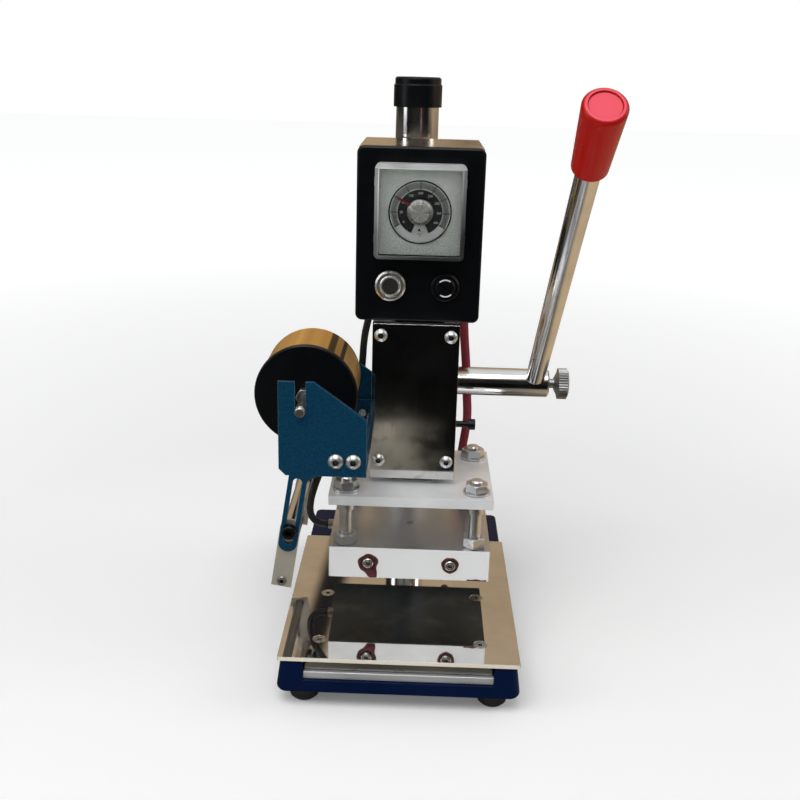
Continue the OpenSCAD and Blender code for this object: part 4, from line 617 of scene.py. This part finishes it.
# Painted highlights: light and dark streaks in a fan.
fan_highlight = spread(turned, streaks, 0, 1)
feed(turned, tinted(turned, fan_highlight, (0.30, 0.29, 0.27), (0.78, 0.77, 0.73)), "Base Color")
raised(turned, streaks, 0.1, 0.1 * MM, 0.4 * MM)
finishes["turned_knob"] = turned
print("knob centre", tuple(round(part, 4) for part in knob_centre))

# %% [markdown]
# Each CAD piece has a material slot in its record, which names its finish. A few pieces
# have a finish of their own instead, because the photo shows them duller or brighter.

# %% Every CAD piece takes its finish
own_finish = {"heat_block": "block_aluminium", "thermostat_knob": "turned_knob", "post_nuts": "zinc_bright",
              "posts": "zinc_bright", "cover_screws": "screw_zinc", "bracket_screws": "screw_zinc",
              "button_cap": "grey_cap", "button_bezel": "satin_steel", "guide_strips": "strip_steel",
              "carriage": "dull_aluminium", "upper_plate": "plate_aluminium", "box_housing": "brushed_steel"}
slot_of = {part["node"]: part["material_slot"] for part in frame["record"]["subparts"]}
for name, piece in nodes.items():
    piece.data.materials.clear()
    piece.data.materials.append(finishes[own_finish.get(name, slot_of[name])])
print("dressed", len(nodes), "CAD pieces")

# %% [markdown]
# ## The dial's print
# The thermostat's scale is printed on the silver face: a thin circle, a ring of fine
# marks, and a black band with the degrees in white. What repeats is made by Geometry
# Nodes: one small bar, copied round the dial at equal angles.

# %% Where the dial is
dial_x, dial_z = knob_centre.x, knob_centre.z
PRINT_LIFT, PRINT_THICK = 0.08 * MM, 0.05 * MM
SCALE_START, SCALE_SWEEP = math.radians(211), math.radians(-243)
print(f"dial at x {dial_x:.4f}, z {dial_z:.4f}, face front y {face_low.y:.4f}")


def print_ink(name, colour, roughness, low, high):
    made = start_finish(name, colour, roughness)
    feed(made, spread(made, noise(made, place_of(made), 800), low, high), "Roughness")
    return made


ink = print_ink("black_ink", (0.012, 0.012, 0.014), 0.5, 0.40, 0.62)
white_ink = print_ink("white_ink", (0.72, 0.73, 0.73), 0.5, 0.40, 0.62)
red_ink = print_ink("red_ink", (0.30, 0.012, 0.016), 0.4, 0.30, 0.50)

# %% [markdown]
# A modifier's inputs go by socket identifiers, so a small helper builds the group's
# interface, sets the values by name and bakes the result to a plain mesh.

# %% A node group and its bake
def new_group(name, sockets):
    group = bpy.data.node_groups.new(name, "GeometryNodeTree")
    group.interface.new_socket("Geometry", in_out="INPUT", socket_type="NodeSocketGeometry")
    for label, kind in sockets.items():
        group.interface.new_socket(label, in_out="INPUT", socket_type="NodeSocket" + kind)
    group.interface.new_socket("Geometry", in_out="OUTPUT", socket_type="NodeSocketGeometry")
    return group, group.nodes.new("NodeGroupInput").outputs, group.nodes.new("NodeGroupOutput").inputs


def bake(name, group, values, points, material):
    """Runs the group on loose points and leaves a plain mesh with one finish."""
    start = bpy.data.meshes.new(name + "_points")
    start.from_pydata(points, [], [])
    made = bpy.data.objects.new(name, start)
    scene.collection.objects.link(made)
    modifier = made.modifiers.new("grow", "NODES")
    modifier.node_group = group
    inputs = [item for item in group.interface.items_tree if item.in_out == "INPUT"]
    identifiers = {item.name: item.identifier for item in inputs}
    for label, value in values.items():
        modifier[identifiers[label]] = value
    depsgraph = bpy.context.evaluated_depsgraph_get()
    mesh = bpy.data.meshes.new_from_object(made.evaluated_get(depsgraph))
    made.modifiers.clear()
    made.data = mesh
    if not mesh.materials:
        mesh.materials.append(material)
    print(f"{name}: {len(mesh.polygons)} faces")
    return made


# %% [markdown]
# The group for the marks makes a bar, moves it out to the ring's radius, copies it along
# a row of points that all lie in one place, and turns each copy by its index.

# %% Marks round the dial
marks, given, result = new_group("marks_round_a_dial", {
    "Count": "Int", "First angle": "Float", "Angle between": "Float", "Radius": "Float",
    "Bar": "Vector", "Ink": "Material"})
bar = step(marks, "GeometryNodeMeshCube", {"Size": given["Bar"]})
out_at = step(marks, "ShaderNodeCombineXYZ", {0: given["Radius"]})
moved = step(marks, "GeometryNodeTransform", {"Geometry": bar.outputs[0], "Translation": out_at.outputs[0]})
row = step(marks, "GeometryNodeMeshLine", {"Count": given["Count"], "Offset": (0, 0, 0)})
index = step(marks, "GeometryNodeInputIndex")
turn = step(marks, "ShaderNodeMath", {
    0: index.outputs[0], 1: given["Angle between"], 2: given["First angle"]}, operation="MULTIPLY_ADD")
spin = step(marks, "ShaderNodeCombineXYZ", {2: turn.outputs[0]})
ring = step(marks, "GeometryNodeInstanceOnPoints", {
    "Points": row.outputs[0], "Instance": moved.outputs[0], "Rotation": spin.outputs[0]})
upright = step(marks, "GeometryNodeTransform", {
    "Geometry": ring.outputs[0], "Rotation": (math.radians(90), 0, 0)})
placed = step(marks, "GeometryNodeInstanceOnPoints", {
    "Points": given["Geometry"], "Instance": upright.outputs[0]})
solid = step(marks, "GeometryNodeRealizeInstances", {"Geometry": placed.outputs[0]})
inked = step(marks, "GeometryNodeSetMaterial", {"Geometry": solid.outputs[0], "Material": given["Ink"]})
marks.links.new(inked.outputs[0], result["Geometry"])

FINE_MARKS, LONG_MARKS, MARK_RADIUS = 121, 9, 15.2 * MM
dial_point = (dial_x, face_low.y - PRINT_LIFT, dial_z)
for name, count, long, wide in (("dial_fine_marks", FINE_MARKS, 3.2 * MM, 0.24 * MM),
                                ("dial_long_marks", LONG_MARKS, 4.2 * MM, 0.42 * MM)):
    piece = bake(name, marks, {
        "Count": count, "First angle": SCALE_START, "Angle between": SCALE_SWEEP / (count - 1),
        "Radius": MARK_RADIUS, "Bar": (long, wide, PRINT_THICK), "Ink": ink}, [dial_point], ink)
    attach(piece, "frame")


# %% [markdown]
# The thin circle and the black band are flat ring pieces, a twentieth of a millimetre
# thick so that they have a front, a back and an edge like any other solid.

# %% Circle and band
def ring_sector(name, radii, start, sweep, material, steps=96, centre=None):
    """A flat ring, or part of one, that stands just off the dial's face: radii in millimetres."""
    x, y, z = centre or (dial_x, face_low.y, dial_z)
    y -= PRINT_LIFT
    inner, outer = (radius * MM for radius in radii)
    shape = bmesh.new()
    whole = abs(abs(sweep) - 2 * math.pi) < 1e-6
    turns = [start + sweep * k / steps for k in range(steps if whole else steps + 1)]
    loops = []
    for radius, depth in ((inner, 0), (outer, 0), (outer, PRINT_THICK), (inner, PRINT_THICK)):
        loops.append([shape.verts.new((x + radius * math.cos(t), y - depth, z + radius * math.sin(t)))
                      for t in turns])
    last = len(turns) if whole else len(turns) - 1
    for a, b in zip(loops, loops[1:] + loops[:1]):
        for k in range(last):
            n = (k + 1) % len(turns)
            shape.faces.new((a[k], b[k], b[n], a[n]))
    if not whole:
        shape.faces.new([loop[0] for loop in loops])
        shape.faces.new([loop[-1] for loop in loops][::-1])
    bmesh.ops.recalc_face_normals(shape, faces=shape.faces)
    return from_shape(name, shape, material)


outer_line = ring_sector("dial_outer_line", (17.5, 18.3), 0, 2 * math.pi, ink)
band = ring_sector("dial_band", (7.6, 12.9), math.radians(248), math.radians(-314), ink)
blank_arc = ring_sector("dial_blank_arc", (13.1, 16.6), SCALE_START + math.radians(2), math.radians(113),
                        white_ink)
for piece in (outer_line, band, blank_arc):
    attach(piece, "frame")
print("circle, band and blank arc")


# %% [markdown]
# The degrees are Blender's own lettering, extruded a little and turned upright. They
# stand in the black band, one above each long mark.

# %% Degrees in white
def printed(name, labels, size, material):
    """Upright lettering: each label stands at an angle and a distance from the dial's centre."""
    words = bmesh.new()
    for label, angle_here, away in labels:
        curve = bpy.data.curves.new(name, "FONT")
        curve.body, curve.size, curve.extrude = label, size, 0.02 * MM
        curve.align_x, curve.align_y = "CENTER", "CENTER"
        written = bpy.data.objects.new(name, curve)
        scene.collection.objects.link(written)
        flat = bpy.data.meshes.new_from_object(written.evaluated_get(bpy.context.evaluated_depsgraph_get()))
        bpy.data.objects.remove(written)
        spot = Vector((dial_x + away * math.cos(angle_here), face_low.y - 2.2 * PRINT_LIFT,
                       dial_z + away * math.sin(angle_here)))
        flat.transform(Matrix.Translation(spot) @ Matrix.Rotation(math.radians(90), 4, "X"))
        words.from_mesh(flat)
    return from_shape(name, words, material)


DEGREES = ("0", "50", "100", "150", "200", "250", "300", "350", "400")
NUMBER_RADIUS, UNIT_RADIUS = 10.9 * MM, 12.9 * MM
dial_numbers = printed("dial_numbers", [
    (label, SCALE_START + SCALE_SWEEP * k / (len(DEGREES) - 1), NUMBER_RADIUS)
    for k, label in enumerate(DEGREES)], 1.9 * MM, white_ink)
dial_unit = printed("dial_unit", [("\u00b0C", math.radians(270), UNIT_RADIUS)], 2.2 * MM, ink)
for piece in (dial_numbers, dial_unit):
    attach(piece, "frame")
print("numbers:", ", ".join(DEGREES))


# %% [markdown]
# The red pointer is a slim outline that turns with the knob. The small index under the
# knob is printed on the face and stays where it is.

# %% Red pointer on the knob
NEEDLE = ((7.0, -0.9), (12, -0.55), (16.6, -0.25), (16.6, 0.25), (12, 0.55), (7.0, 0.9))
INDEX = ((9.0, 0), (10.9, -0.9), (10.9, 0.9))


def flat_outline(name, outline, y, thick, material):
    """A closed outline of (x, z) points, given a thickness towards the front."""
    shape = bmesh.new()
    back = [shape.verts.new((x, y, z)) for x, z in outline]
    front = [shape.verts.new((x, y - thick, z)) for x, z in outline]
    shape.faces.new(back)
    shape.faces.new(front[::-1])
    for k in range(len(outline)):
        n = (k + 1) % len(outline)
        shape.faces.new((back[k], front[k], front[n], back[n]))
    bmesh.ops.recalc_face_normals(shape, faces=shape.faces)
    return from_shape(name, shape, material)


def on_dial(outline, turn):
    """Points given as (outwards, sideways) millimetres, turned to their place on the dial."""
    return [(dial_x + (r * math.cos(turn) - s * math.sin(turn)) * MM,
             dial_z + (r * math.sin(turn) + s * math.cos(turn)) * MM) for r, s in outline]


pointer = flat_outline("dial_pointer", on_dial(NEEDLE, math.radians(147)), face_low.y - 5 * PRINT_LIFT,
                       0.3 * MM, red_ink)
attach(pointer, "dial")
index_mark = flat_outline("dial_index", on_dial(INDEX, math.radians(269)), face_low.y - PRINT_LIFT,
                          PRINT_THICK, ink)
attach(index_mark, "frame")
print("pointer and index")

# %% [markdown]
# The fuse cap carries two white arcs that show which way it turns. They are the same
# flat ring pieces as on the dial, laid on the cap's face, and they turn with the cap.

# %% Arcs on the fuse cap
cap_low, cap_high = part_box("fuse_cap")
cap_face = ((cap_low.x + cap_high.x) / 2, cap_low.y, (cap_low.z + cap_high.z) / 2)
for k, start in enumerate((55, 235)):
    arc = ring_sector(f"fuse_arc_{k}", (4.6, 5.3), math.radians(start), math.radians(80), white_ink, 24,
                      centre=cap_face)
    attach(arc, "fuse")
print("two arcs on the fuse cap")

# %% [markdown]
# ## A thread
# The end of the roll's axle is threaded. A thread is a spiral curve with a pointed
# profile swept along it, so Blender's spiral node makes it directly. The group puts one
# thread on every point that it is given.

# %% One thread for every point
threads, given, result = new_group("thread_on_points", {
    "Turns": "Float", "Length": "Float", "Radius": "Float", "Depth": "Float",
    "Direction": "Vector", "Metal": "Material"})
spiral = step(threads, "GeometryNodeCurveSpiral", {
    "Resolution": 20, "Rotations": given["Turns"], "Start Radius": given["Radius"],
    "End Radius": given["Radius"], "Height": given["Length"]})
crest = step(threads, "GeometryNodeCurvePrimitiveCircle", {"Resolution": 4, "Radius": given["Depth"]})
ridge = step(threads, "GeometryNodeCurveToMesh", {
    "Curve": spiral.outputs[0], "Profile Curve": crest.outputs[0], "Fill Caps": True})
turned_way = step(threads, "GeometryNodeInstanceOnPoints", {
    "Points": given["Geometry"], "Instance": ridge.outputs[0], "Rotation": given["Direction"]})
solid = step(threads, "GeometryNodeRealizeInstances", {"Geometry": turned_way.outputs[0]})
shiny = step(threads, "GeometryNodeSetMaterial", {"Geometry": solid.outputs[0], "Material": given["Metal"]})
threads.links.new(shiny.outputs[0], result["Geometry"])

# %% Thread on the roll's axle
THREAD_PITCH, THREAD_DEPTH, RUN_OUT = 1.0 * MM, 0.25 * MM, 0.9 * MM
bracket_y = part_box("bracket_front")[0].y
stub = bracket_y - axle_low.y - 0.3 * MM
axle_r = (axle_high.z - axle_low.z) / 2
axle_thread = bake("axle_thread", threads, {
    "Turns": (stub - RUN_OUT) / THREAD_PITCH, "Length": stub - RUN_OUT, "Radius": axle_r - 0.05 * MM,
    "Depth": THREAD_DEPTH, "Direction": (math.radians(-90), 0, 0), "Metal": finishes["bright_steel"]},
    [(axle_centre.x, axle_low.y + 0.8 * MM, axle_centre.z)], finishes["bright_steel"])
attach(axle_thread, "roll")

# %% [markdown]
# ## Red sealing paste
# The plugs in the heat block were set with a red paste that oozed out and baked on. On
# the left it ran down to the lower edge. Each patch is an outline with a soft uneven
# rim, a few tenths of a millimetre thick, around the plug's own hole.

# %% Paste round the plugs
paste = start_finish("baked_paste", (0.085, 0.008, 0.008), 0.45)
cooked = noise(paste, place_of(paste), 500)
browned = spread(paste, cooked, 0, 1)
feed(paste, tinted(paste, browned, (0.030, 0.004, 0.005), (0.150, 0.012, 0.012)), "Base Color")
feed(paste, spread(paste, cooked, 0.30, 0.60), "Roughness")
raised(paste, cooked, 0.4)

block_low, block_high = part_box("heat_block")
plug_low, plug_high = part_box("heater_plugs")
plug_r = (plug_high.z - plug_low.z) / 2
plug_z = (plug_low.z + plug_high.z) / 2
plug_x = (plug_low.x + plug_r, plug_high.x - plug_r)
print(f"plugs of {2 * plug_r / MM:.1f} mm at z {plug_z:.4f}")

PASTE_LIFT, PASTE_THICK, PASTE_STEPS = 0.02 * MM, 0.45 * MM, 72
PASTE_PROFILE = ((0.0, 0.0), (0.25, 1.0), (0.75, 1.0), (1.0, 0.0))


def paste_patch(name, x, reach, hole):
    """A ring of paste round a plug: reach gives its outer radius for each angle."""
    shape = bmesh.new()
    loops = []
    for share, rise in PASTE_PROFILE:
        y = block_low.y - (PASTE_LIFT + PASTE_THICK * rise)
        loop = []
        for t in (2 * math.pi * k / PASTE_STEPS for k in range(PASTE_STEPS)):
            r = hole + (reach(t) - hole) * share
            loop.append(shape.verts.new((x + r * math.cos(t), y, plug_z + r * math.sin(t))))
        loops.append(loop)
    for a, b in zip(loops, loops[1:] + loops[:1]):
        for k in range(PASTE_STEPS):
            n = (k + 1) % PASTE_STEPS
            shape.faces.new((a[k], a[n], b[n], b[k])).smooth = True
    bmesh.ops.recalc_face_normals(shape, faces=shape.faces)
    made = from_shape(name, shape, paste)
    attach(made, "ram")


def run_down(t):
    """The left patch: a wider rim above, and a tail that runs to the block's lower edge."""
    rim = 6.1 + 0.35 * math.sin(2 * t + 0.6) + 0.25 * math.sin(5 * t)
    tail_at = math.radians(-72)
    off = (t - tail_at + math.pi) % (2 * math.pi) - math.pi
    floor = (plug_z - block_low.z) / MM - 0.1
    tail = rim + 6.5 * math.exp(-(off / 0.42) ** 2)
    down = -math.sin(t)
    return min(tail, floor / down if down > 0.3 else 99) * MM


def dried_ring(t):
    """The right patch: a narrow rim, nearly round."""
    return (5.4 + 0.2 * math.sin(3 * t) + 0.12 * math.sin(7 * t)) * MM


STAIN = ((0.86, 0.1), (0.98, 0.1), (0.985, 0.9), (0.95, 0.6), (0.92, 1.3), (0.89, 0.8), (0.865, 1.0))
paste_patch("paste_left", plug_x[0], run_down, 3.6 * MM)
paste_patch("paste_right", plug_x[1], dried_ring, 3.7 * MM)
block_w = block_high.x - block_low.x
edge = [(block_low.x + share * block_w, block_low.z + rise * MM) for share, rise in STAIN]
stain = flat_outline("paste_stain", edge, block_low.y - PASTE_LIFT, 0.15 * MM, paste)
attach(stain, "ram")
print("paste on both plugs and along the edge")

# %% [markdown]
# ## Floor and light
# A plain pale floor and soft studio light: one large lamp above and in front, a weaker
# one on each side. Bright metal needs something to reflect, so reflections see the floor
# as a tan bench, with painted light to the right and painted shade in front of the
# machine, where a person would stand, and on its front right.

# %% Floor
FLOOR_HALF, FLOOR_Z = 6, -0.2 * MM
PALE, SUNNY, UNLIT = (0.90, 0.90, 0.89), (0.72, 0.54, 0.34, 1), (0.004, 0.004, 0.004, 1)
pale = start_finish("pale_floor", PALE, 0.6, Specular_IOR_Level=0.0)
ray = node_of(pale, "ShaderNodeLightPath").outputs
spot = axes_of(pale, place_of(pale))
out_to = reach_of(pale, place_of(pale))
glow = combined(pale, ray["Is Camera Ray"], spread(pale, out_to, 0.12, 0.60, 0.4, 1.6), "MULTIPLY")
shader_of(pale).inputs["Emission Color"].default_value = (1, 1, 1, 1)
feed(pale, glow, "Emission Strength")

uneven = spread(pale, noise(pale, place_of(pale), 28, 4), -0.035, 0.035)
in_front = spread(pale, combined(pale, spot["Y"], uneven, "ADD"), 1, 0, -0.465, -0.405)
far_right = spread(pale, combined(pale, spot["X"], uneven, "ADD"), 0, 1, -0.010, 0.018)
on_right = combined(pale, far_right, spread(pale, spot["Y"], 1, 0, -0.20, -0.12), "MULTIPLY")
unlit = combined(pale, in_front, on_right, "MAXIMUM")
patches = spread(pale, noise(pale, place_of(pale), 14, 2), 0, 1, 0.35, 0.65)
bench = tinted(pale, patches, (0.09, 0.085, 0.065), (0.34, 0.31, 0.25))
# Painted light on the bench to the right, and painted shade in front and on the front right.
bench = mixed(pale, spread(pale, spot["X"], 0, 1, 0.08, 0.16), bench, SUNNY)
bench = mixed(pale, unlit, bench, UNLIT)
feed(pale, mixed(pale, ray["Is Glossy Ray"], (*PALE, 1), bench), "Base Color")

sheet = bpy.data.meshes.new("floor")
corners = [(x * FLOOR_HALF, y * FLOOR_HALF, FLOOR_Z) for x, y in ((-1, -1), (1, -1), (1, 1), (-1, 1))]
sheet.from_pydata(corners, [], [(0, 1, 2, 3)])
floor = link("floor", sheet, pale)
print("pale floor, a bench in reflections")


# %% Lamps
def soft_lamp(name, at, towards, size, watts):
    light = bpy.data.lights.new(name, "AREA")
    light.shape, light.size, light.size_y, light.energy = "RECTANGLE", size[0], size[1], watts
    lamp = bpy.data.objects.new(name, light)
    aim = (Vector(towards) - Vector(at)).to_track_quat("-Z", "Y")
    lamp.matrix_world = Matrix.Translation(at) @ aim.to_matrix().to_4x4()
    scene.collection.objects.link(lamp)


soft_lamp("lamp_above", at=(-0.25, -0.7, 1.5), towards=(0, 0.05, 0.15), size=(1.2, 0.9), watts=12)
soft_lamp("lamp_left", at=(-1.5, -0.5, 0.8), towards=(0, 0.05, 0.15), size=(0.6, 1.2), watts=5)
soft_lamp("lamp_right", at=(1.4, 0.1, 0.9), towards=(0, 0.05, 0.2), size=(0.6, 1.0), watts=4)
print("three lamps")

# %% [markdown]
# The world is white for the camera and gives a soft even light. Only reflections see a
# room in it: a tan wall that turns white towards the ceiling, dark on the near side and
# on the left, with one slim dark post that leans a little.

# %% World
TAN_WALL, CEILING, DARK = (0.48, 0.36, 0.23, 1), (0.95, 0.95, 0.95, 1), (0.015, 0.015, 0.015, 1)
POST_LEAN, POST_AT = 0.3, 0.066
world = bpy.data.worlds.new("studio")
scene.world = world
world.use_nodes = True
tree = world.node_tree
tree.nodes.clear()


def ramp(value, start, stop):
    return step(tree, "ShaderNodeMapRange", {0: value, 1: start, 2: stop, 3: 0.0, 4: 1.0}).outputs[0]


def reckoned(operation, *values):
    return step(tree, "ShaderNodeMath", dict(enumerate(values)), operation=operation).outputs[0]


def between(share, first, second):
    return step(tree, "ShaderNodeMix", {0: share, 6: first, 7: second}, data_type="RGBA").outputs[2]


def light_of(colour, strength):
    return step(tree, "ShaderNodeBackground", {"Color": colour, "Strength": strength}).outputs[0]


ray = step(tree, "ShaderNodeLightPath").outputs
way = step(tree, "ShaderNodeSeparateXYZ", {0: step(tree, "ShaderNodeTexCoord").outputs["Generated"]}).outputs
wall = between(ramp(way["Z"], 0.50, 0.95), TAN_WALL, CEILING)
near_side = reckoned("MULTIPLY", ramp(way["Y"], -0.15, -0.55), ramp(way["Z"], 0.75, 0.45))
left_side = ramp(way["X"], -0.45, -0.65)
leaning = reckoned("MULTIPLY_ADD", way["Z"], POST_LEAN, way["X"])
dark_post = ramp(reckoned("ABSOLUTE", reckoned("SUBTRACT", leaning, POST_AT)), 0.017, 0.008)
shade = reckoned("MAXIMUM", reckoned("MAXIMUM", near_side, left_side), dark_post)
lit = light_of((0.97, 0.98, 1.0, 1), 0.42)
mirrored = light_of(between(shade, wall, DARK), 0.9)
glossy = step(tree, "ShaderNodeMixShader", {0: ray["Is Glossy Ray"], 1: lit, 2: mirrored}).outputs[0]
in_view = reckoned("MAXIMUM", ray["Is Camera Ray"], ray["Is Transmission Ray"])
seen = light_of((1, 1, 1, 1), 1.0)
final = step(tree, "ShaderNodeMixShader", {0: in_view, 1: glossy, 2: seen}).outputs[0]
step(tree, "ShaderNodeOutputWorld", {0: final})
print("world ready")
